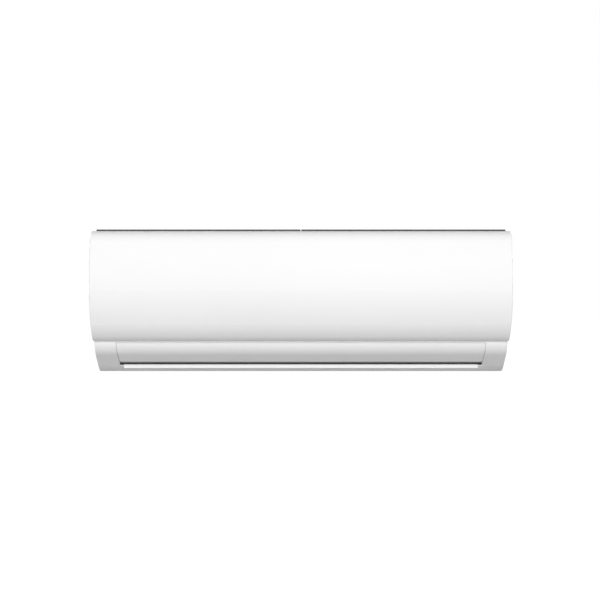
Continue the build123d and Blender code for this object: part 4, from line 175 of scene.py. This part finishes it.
def zinc_sheet(name):
    """Galvanised sheet with its frosted spangle and long pressed beads."""
    p = Paint(name, (0.55, 0.57, 0.59), 0.42, 0.95)
    spangle = p.cells(160.0)
    split = p.node("ShaderNodeSeparateColor")
    p.link(spangle.outputs["Color"], split.inputs["Color"])
    p.tint(split.outputs["Red"], (0.45, 0.47, 0.49), (0.66, 0.68, 0.70), 0.0, 1.0)
    p.link(p.band(split.outputs["Green"], 0.30, 0.55, 0.0, 1.0), p.shader.inputs["Roughness"])
    p.bump(p.band(p.waves(0.038, "Z"), 0.0, 1.0, 0.86, 0.99), 0.0012, 0.9)
    p.bump(p.noise(600.0, 3.0), 0.00003, 0.4)
    return p.material


def drawn_metal(name, color, roughness, stain):
    """Drawn or turned metal: fine lines round it and a little tarnish."""
    p = Paint(name, color, roughness, 1.0)
    p.tint(p.noise(55.0, 5.0), stain, color, 0.35, 0.6)
    p.rough(roughness * 0.8, roughness * 1.4, p.noise(140.0, 5.0))
    p.bump(p.noise(300.0, 3.0, (12.0, 1.0, 1.0)), 0.00003, 0.5)
    return p.material


def fin_metal(name):
    """Thin bare fins with faint oil marks."""
    p = Paint(name, (0.74, 0.77, 0.80), 0.34, 1.0)
    p.shade(0.10, p.noise(40.0, 4.0, (0.2, 1.0, 1.0)))
    p.rough(0.28, 0.46, p.noise(80.0, 4.0))
    p.bump(p.noise(700.0, 2.0), 0.00002, 0.4)
    return p.material


def net_cloth(name):
    """Fine woven net, dark, its threads a millimetre apart."""
    p = Paint(name, (0.045, 0.045, 0.05), 0.7)
    threads = p.greater(p.waves(0.0011, "X"), p.waves(0.0011, "Y"))
    p.tint(threads, (0.008, 0.008, 0.009), (0.085, 0.085, 0.09), 0.55, 0.85)
    p.rough(0.6, 0.8, p.noise(60.0))
    p.bump(threads, 0.00025, 0.7)
    return p.material


def rubber(name):
    p = Paint(name, (0.018, 0.018, 0.018), 0.75)
    p.shade(0.35, p.noise(60.0, 4.0))
    p.rough(0.65, 0.85, p.noise(120.0, 4.0))
    p.bump(p.noise(900.0, 3.0), 0.00005, 0.5)
    return p.material


def laminate(name):
    """Circuit board: green resist over faint copper lines."""
    p = Paint(name, (0.02, 0.14, 0.06), 0.35, IOR=1.5)
    lines = p.cells(190.0, "DISTANCE_TO_EDGE")
    p.tint(lines.outputs["Distance"], (0.05, 0.24, 0.10), (0.012, 0.11, 0.045), 0.03, 0.06)
    p.rough(0.28, 0.42, p.noise(100.0))
    p.bump(lines.outputs["Distance"], 0.00004, 0.4)
    return p.material


# One paint to each material slot of the record
WHITE = (0.90, 0.90, 0.90)
paints = {
    "panel": gloss_plastic("panel_white", WHITE, 0.40),
    "casing": gloss_plastic("casing_white", WHITE, 0.38),
    "louver": gloss_plastic("louver_white", WHITE, 0.38),
    "chassis": spark_plastic("chassis_grey", (0.46, 0.46, 0.455)),
    "filter_frame": spark_plastic("filter_frame_grey", (0.030, 0.030, 0.033), 0.5),
    "filter_net": net_cloth("filter_net_grey"),
    "fan": spark_plastic("fan_black", (0.022, 0.022, 0.024), 0.45),
    "steel": drawn_metal("shaft_steel", (0.56, 0.56, 0.56), 0.25, (0.42, 0.42, 0.42)),
    "bearing": drawn_metal("bearing_bronze", (0.45, 0.34, 0.20), 0.4, (0.28, 0.20, 0.12)),
    "rubber": rubber("rubber_black"),
    "zinc": zinc_sheet("zinc_sheet"),
    "fins": fin_metal("fin_aluminium"),
    "copper": drawn_metal("tube_copper", (0.78, 0.38, 0.24), 0.28, (0.50, 0.20, 0.11)),
    "brass": drawn_metal("union_brass", (0.76, 0.57, 0.26), 0.24, (0.58, 0.40, 0.16)),
    "vane": spark_plastic("vane_grey", (0.30, 0.30, 0.30), 0.5),
    "box": spark_plastic("box_grey", (0.48, 0.48, 0.48), 0.6),
    "board": laminate("board_green"),
    "components": spark_plastic("component_black", (0.035, 0.035, 0.038), 0.45),
    "terminal": spark_plastic("terminal_black", (0.025, 0.025, 0.025), 0.5),
    "button": gloss_plastic("button_white", (0.78, 0.78, 0.78), 0.3),
}
slots = {part["node"]: part["material_slot"] for part in frame["record"]["subparts"]}
for name, solid in frame["nodes"].items():
    solid.data.materials.clear()
    solid.data.materials.append(paints[slots[name]])


# Pieces finer than the solids. Lengths from here to the lights are in millimetres, and a point in a
# section is (depth from the wall, height above the unit's underside).

MID_HEIGHT = 149.0


def space(x, depth, height):
    """A point in the unit's own frame, in metres."""
    return (x / 1000, -depth / 1000, (height - MID_HEIGHT) / 1000)


class Shape:
    """A mesh gathered from bars, prisms and sleeves."""

    SLEEVE_SIDES = 24

    def __init__(self):
        self.points, self.faces = [], []

    def loop(self, points):
        """Adds a ring of points; returns its indices."""
        start = len(self.points)
        self.points += [space(*point) for point in points]
        return list(range(start, len(self.points)))

    def bridge(self, first, second):
        for i in range(len(first)):
            j = (i + 1) % len(first)
            self.faces.append((first[i], first[j], second[j], second[i]))

    def bar(self, sections):
        """A bar through a list of sections, closed at both ends."""
        rings = [self.loop(section) for section in sections]
        for first, second in zip(rings, rings[1:]):
            self.bridge(first, second)
        self.faces += [tuple(reversed(rings[0])), tuple(rings[-1])]

    def prism(self, outline, left, right):
        """A straight bar along the width."""
        self.bar([[(x, *point) for point in outline] for x in (left, right)])

    def sleeve(self, depth, height, inner, outer, left, right):
        """A round sleeve along the width."""
        turns = [math.tau * k / self.SLEEVE_SIDES for k in range(self.SLEEVE_SIDES)]
        corners = ((left, outer), (right, outer), (right, inner), (left, inner))
        rings = [self.loop([(x, depth + radius * math.cos(turn), height + radius * math.sin(turn))
                            for turn in turns]) for x, radius in corners]
        for first, second in zip(rings, rings[1:] + rings[:1]):
            self.bridge(first, second)

    def piece(self, name, paint, body):
        """The finished object, in a paint and its slot, on a body."""
        mesh = bpy.data.meshes.new(name)
        mesh.from_pydata(self.points, [], self.faces)
        shaped = bmesh.new()
        shaped.from_mesh(mesh)
        bmesh.ops.recalc_face_normals(shaped, faces=shaped.faces)
        shaped.to_mesh(mesh)
        shaped.free()
        made = bpy.data.objects.new(name, mesh)
        bpy.context.scene.collection.objects.link(made)
        mesh.materials.append(paints[paint])
        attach(made, body)
        return made


# Coil: each slab is a pack of thin fins, corrugated across the air's way, whose collars cover the tubes

COIL_LEFT, COIL_RIGHT = -366.0, 296.5
SLABS = {
    "front_lower": ((148.0, 110.0), (148.0, 206.0)),
    "front_upper": ((146.0, 213.0), (95.0, 264.0)),
    "rear": ((84.0, 264.0), (34.0, 208.0)),
}
SLAB_DEEP, SLAB_MARGIN = 22.0, 0.01
FIN_PITCH, FIN_SHEET, FIN_FOLDS, FIN_SWING = 1.7, 0.16, 8, 0.75
TUBE_PITCH, TUBE_MARGIN, TUBE_ROWS = 21.0, 8.0, (5.5, 16.5)
COLLAR_BORE, COLLAR_RADIUS = 3.52, 3.9

fin_first = COIL_LEFT + FIN_SWING + FIN_SHEET
fin_count = int((COIL_RIGHT - FIN_SWING - FIN_SHEET - fin_first) / FIN_PITCH) + 1
fin_last = fin_first + (fin_count - 1) * FIN_PITCH
wave = [((-1) ** k * FIN_SWING, SLAB_DEEP * (SLAB_MARGIN + (1 - 2 * SLAB_MARGIN) * k / FIN_FOLDS))
        for k in range(FIN_FOLDS + 1)]
fin_outline = wave + [(x + FIN_SHEET, across) for x, across in reversed(wave)]

for name, (start, end) in SLABS.items():
    length = math.dist(start, end)
    along = ((end[0] - start[0]) / length, (end[1] - start[1]) / length)
    out = (along[1], -along[0])
    fins = Shape()
    for k in range(fin_count):
        x_fin = fin_first + k * FIN_PITCH
        fins.bar([[(x_fin + x, foot[0] + across * out[0], foot[1] + across * out[1])
                   for x, across in fin_outline] for foot in (start, end)])
    for row, across in enumerate(TUBE_ROWS):
        way = TUBE_MARGIN + row * TUBE_PITCH / 2
        while way < length - TUBE_MARGIN:
            depth, height = (start[i] + way * along[i] + across * out[i] for i in (0, 1))
            fins.sleeve(depth, height, COLLAR_BORE, COLLAR_RADIUS, fin_first, fin_last)
            way += TUBE_PITCH
    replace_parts(fins.piece(f"fin_pack_{name}", "fins", "unit"), f"evaporator_fins_{name}")


# Front panel: moulded stiffening ribs on its hidden side

NOSE_DEPTH, NOSE_HEIGHT, BROW_RADIUS = 205.0, 176.0, 320.1
ARCS_BELOW_NOSE = ((175.5, 23.9), (88.4, 20.7))  # radius, sweep in degrees
RIB_ROOT, RIB_CREST, RIB_HALF, RIB_TAPER = 2.3, 4.1, 0.7, 0.7
UPRIGHT_RIBS = (-370.0, -310.0, -200.0, -130.0, -20.0, 20.0, 130.0, 200.0, 310.0)
UPRIGHT_HEADINGS = range(-13, 32, 3)
LEVEL_RIBS, LEVEL_REACH, LEVEL_RADIUS = (-10.0, 14.0), 396.0, 250.0


def panel_line(heading, inset):
    """Point of the panel's face where it heads that many degrees off straight down, moved inwards."""
    angle = math.radians(heading)
    depth, height = NOSE_DEPTH, NOSE_HEIGHT
    if heading <= 0:
        depth -= BROW_RADIUS * (1 - math.cos(angle))
        height -= BROW_RADIUS * math.sin(angle)
    else:
        low = 0.0
        for radius, sweep in ARCS_BELOW_NOSE:
            high = math.radians(min(heading, math.degrees(low) + sweep))
            depth -= radius * (math.cos(low) - math.cos(high))
            height -= radius * (math.sin(high) - math.sin(low))
            low = high
    return (depth - inset * math.cos(angle), height + inset * math.sin(angle))


ribs = Shape()
for x in UPRIGHT_RIBS:
    sections = []
    for heading in UPRIGHT_HEADINGS:
        root, crest = panel_line(heading, RIB_ROOT), panel_line(heading, RIB_CREST)
        sections.append([(x - RIB_HALF, *root), (x + RIB_HALF, *root),
                         (x + RIB_HALF * RIB_TAPER, *crest), (x - RIB_HALF * RIB_TAPER, *crest)])
    ribs.bar(sections)
for heading in LEVEL_RIBS:
    turn = math.degrees(RIB_HALF / LEVEL_RADIUS)
    ribs.prism([panel_line(heading - turn, RIB_ROOT), panel_line(heading + turn, RIB_ROOT),
                panel_line(heading + turn, RIB_CREST), panel_line(heading - turn, RIB_CREST)],
               -LEVEL_REACH, LEVEL_REACH)
ribs.piece("panel_ribs", "panel", "front_panel")


# Outlet: a blank wall with two stiffening ribs beside the duct, behind the louver's right end

DUCT_MOUTH, DUCT_TILT = (106.0, 18.0), math.radians(42.0)


def duct_point(upstream, rise):
    """Point that far up the duct's lower wall from its mouth, and that far square off it."""
    return (DUCT_MOUTH[0] - upstream * math.sin(DUCT_TILT) + rise * math.cos(DUCT_TILT),
            DUCT_MOUTH[1] + upstream * math.cos(DUCT_TILT) + rise * math.sin(DUCT_TILT))


BLANK_LEFT, BLANK_RIGHT, BLANK_SHEET, BLANK_SLANT = 303.0, 377.0, 1.4, 0.6
BLANK_RIB_INSET, BLANK_RIB_HALF = 24.0, 0.7
blank_under = [duct_point(36.5, 0.3), duct_point(36.5, 23.0), (152.5, 63.0), (155.0, 68.5)]
blank_over = [(depth - BLANK_SHEET * BLANK_SLANT, height + BLANK_SHEET)
              for depth, height in reversed(blank_under)]
blank_rib = [duct_point(35.0, 3.0), duct_point(35.0, 21.0), (146.0, 61.2),
             (150.0, 63.0), duct_point(36.6, 23.0), duct_point(36.6, 1.0)]
blank = Shape()
blank.prism(blank_under + blank_over, BLANK_LEFT, BLANK_RIGHT)
for x in (BLANK_LEFT + BLANK_RIB_INSET, BLANK_RIGHT - BLANK_RIB_INSET):
    blank.prism(blank_rib, x - BLANK_RIB_HALF, x + BLANK_RIB_HALF)
blank.piece("outlet_blank", "chassis", "unit")


# Light, floor and background, in metres

def seen_level(tree, low, high):
    """Strength: high where a camera, glossy or transmission ray looks, low for the rest."""
    path = tree.nodes.new("ShaderNodeLightPath")
    total = path.outputs["Is Camera Ray"]
    for ray in ("Is Glossy Ray", "Is Transmission Ray"):
        either = tree.nodes.new("ShaderNodeMath")
        either.operation = "MAXIMUM"
        tree.links.new(total, either.inputs[0])
        tree.links.new(path.outputs[ray], either.inputs[1])
        total = either.outputs["Value"]
    level = tree.nodes.new("ShaderNodeMapRange")
    level.inputs["To Min"].default_value = low
    level.inputs["To Max"].default_value = high
    tree.links.new(total, level.inputs["Value"])
    return level.outputs["Result"]


def softbox(name, place, aim, width, height, power):
    lamp = bpy.data.lights.new(name, "AREA")
    lamp.shape = "RECTANGLE"
    lamp.size, lamp.size_y, lamp.energy = width, height, power
    holder = bpy.data.objects.new(name, lamp)
    holder.location = place
    direction = Vector(aim) - Vector(place)
    holder.rotation_euler = direction.to_track_quat("-Z", "Y").to_euler()
    bpy.context.scene.collection.objects.link(holder)


world = bpy.data.worlds.new("studio")
bpy.context.scene.world = world
world.use_nodes = True
backdrop = world.node_tree.nodes["Background"]
backdrop.inputs["Color"].default_value = (1.0, 1.0, 1.0, 1.0)
world.node_tree.links.new(seen_level(world.node_tree, 0.02, 1.0), backdrop.inputs["Strength"])

softbox("key_light", (0.0, -3.75, 1.12), (0.0, -0.1, 0.0), 4.4, 3.0, 177.0)
softbox("top_light", (0.0, -0.15, 2.4), (0.0, -0.1, 0.0), 2.4, 0.6, 4.0)
for name, side in (("left", -1.0), ("right", 1.0)):
    softbox(f"back_light_{name}", (2.7 * side, 2.6, 0.9), (0.0, 0.0, 0.0), 2.2, 2.2, 58.0)
    softbox(f"side_light_{name}", (3.0 * side, 0.7, 0.5), (0.4 * side, 0.1, 0.0), 1.6, 1.6, 12.0)

FLOOR_LEVEL, FLOOR_REACH = -2.2, 30.0
mesh = bpy.data.meshes.new("floor")
corners = ((-1, -1), (1, -1), (1, 1), (-1, 1))
mesh.from_pydata([(FLOOR_REACH * x, FLOOR_REACH * y, FLOOR_LEVEL) for x, y in corners], [], [(0, 1, 2, 3)])
floor = bpy.data.objects.new("floor", mesh)
bpy.context.scene.collection.objects.link(floor)
pale = bpy.data.materials.new("floor_pale")
pale.use_nodes = True
shader = pale.node_tree.nodes["Principled BSDF"]
shader.inputs["Base Color"].default_value = (0.38, 0.38, 0.38, 1.0)
shader.inputs["Roughness"].default_value = 0.9
shader.inputs["Emission Color"].default_value = (1.0, 1.0, 1.0, 1.0)
pale.node_tree.links.new(seen_level(pale.node_tree, 0.0, 0.97), shader.inputs["Emission Strength"])
mesh.materials.append(pale)
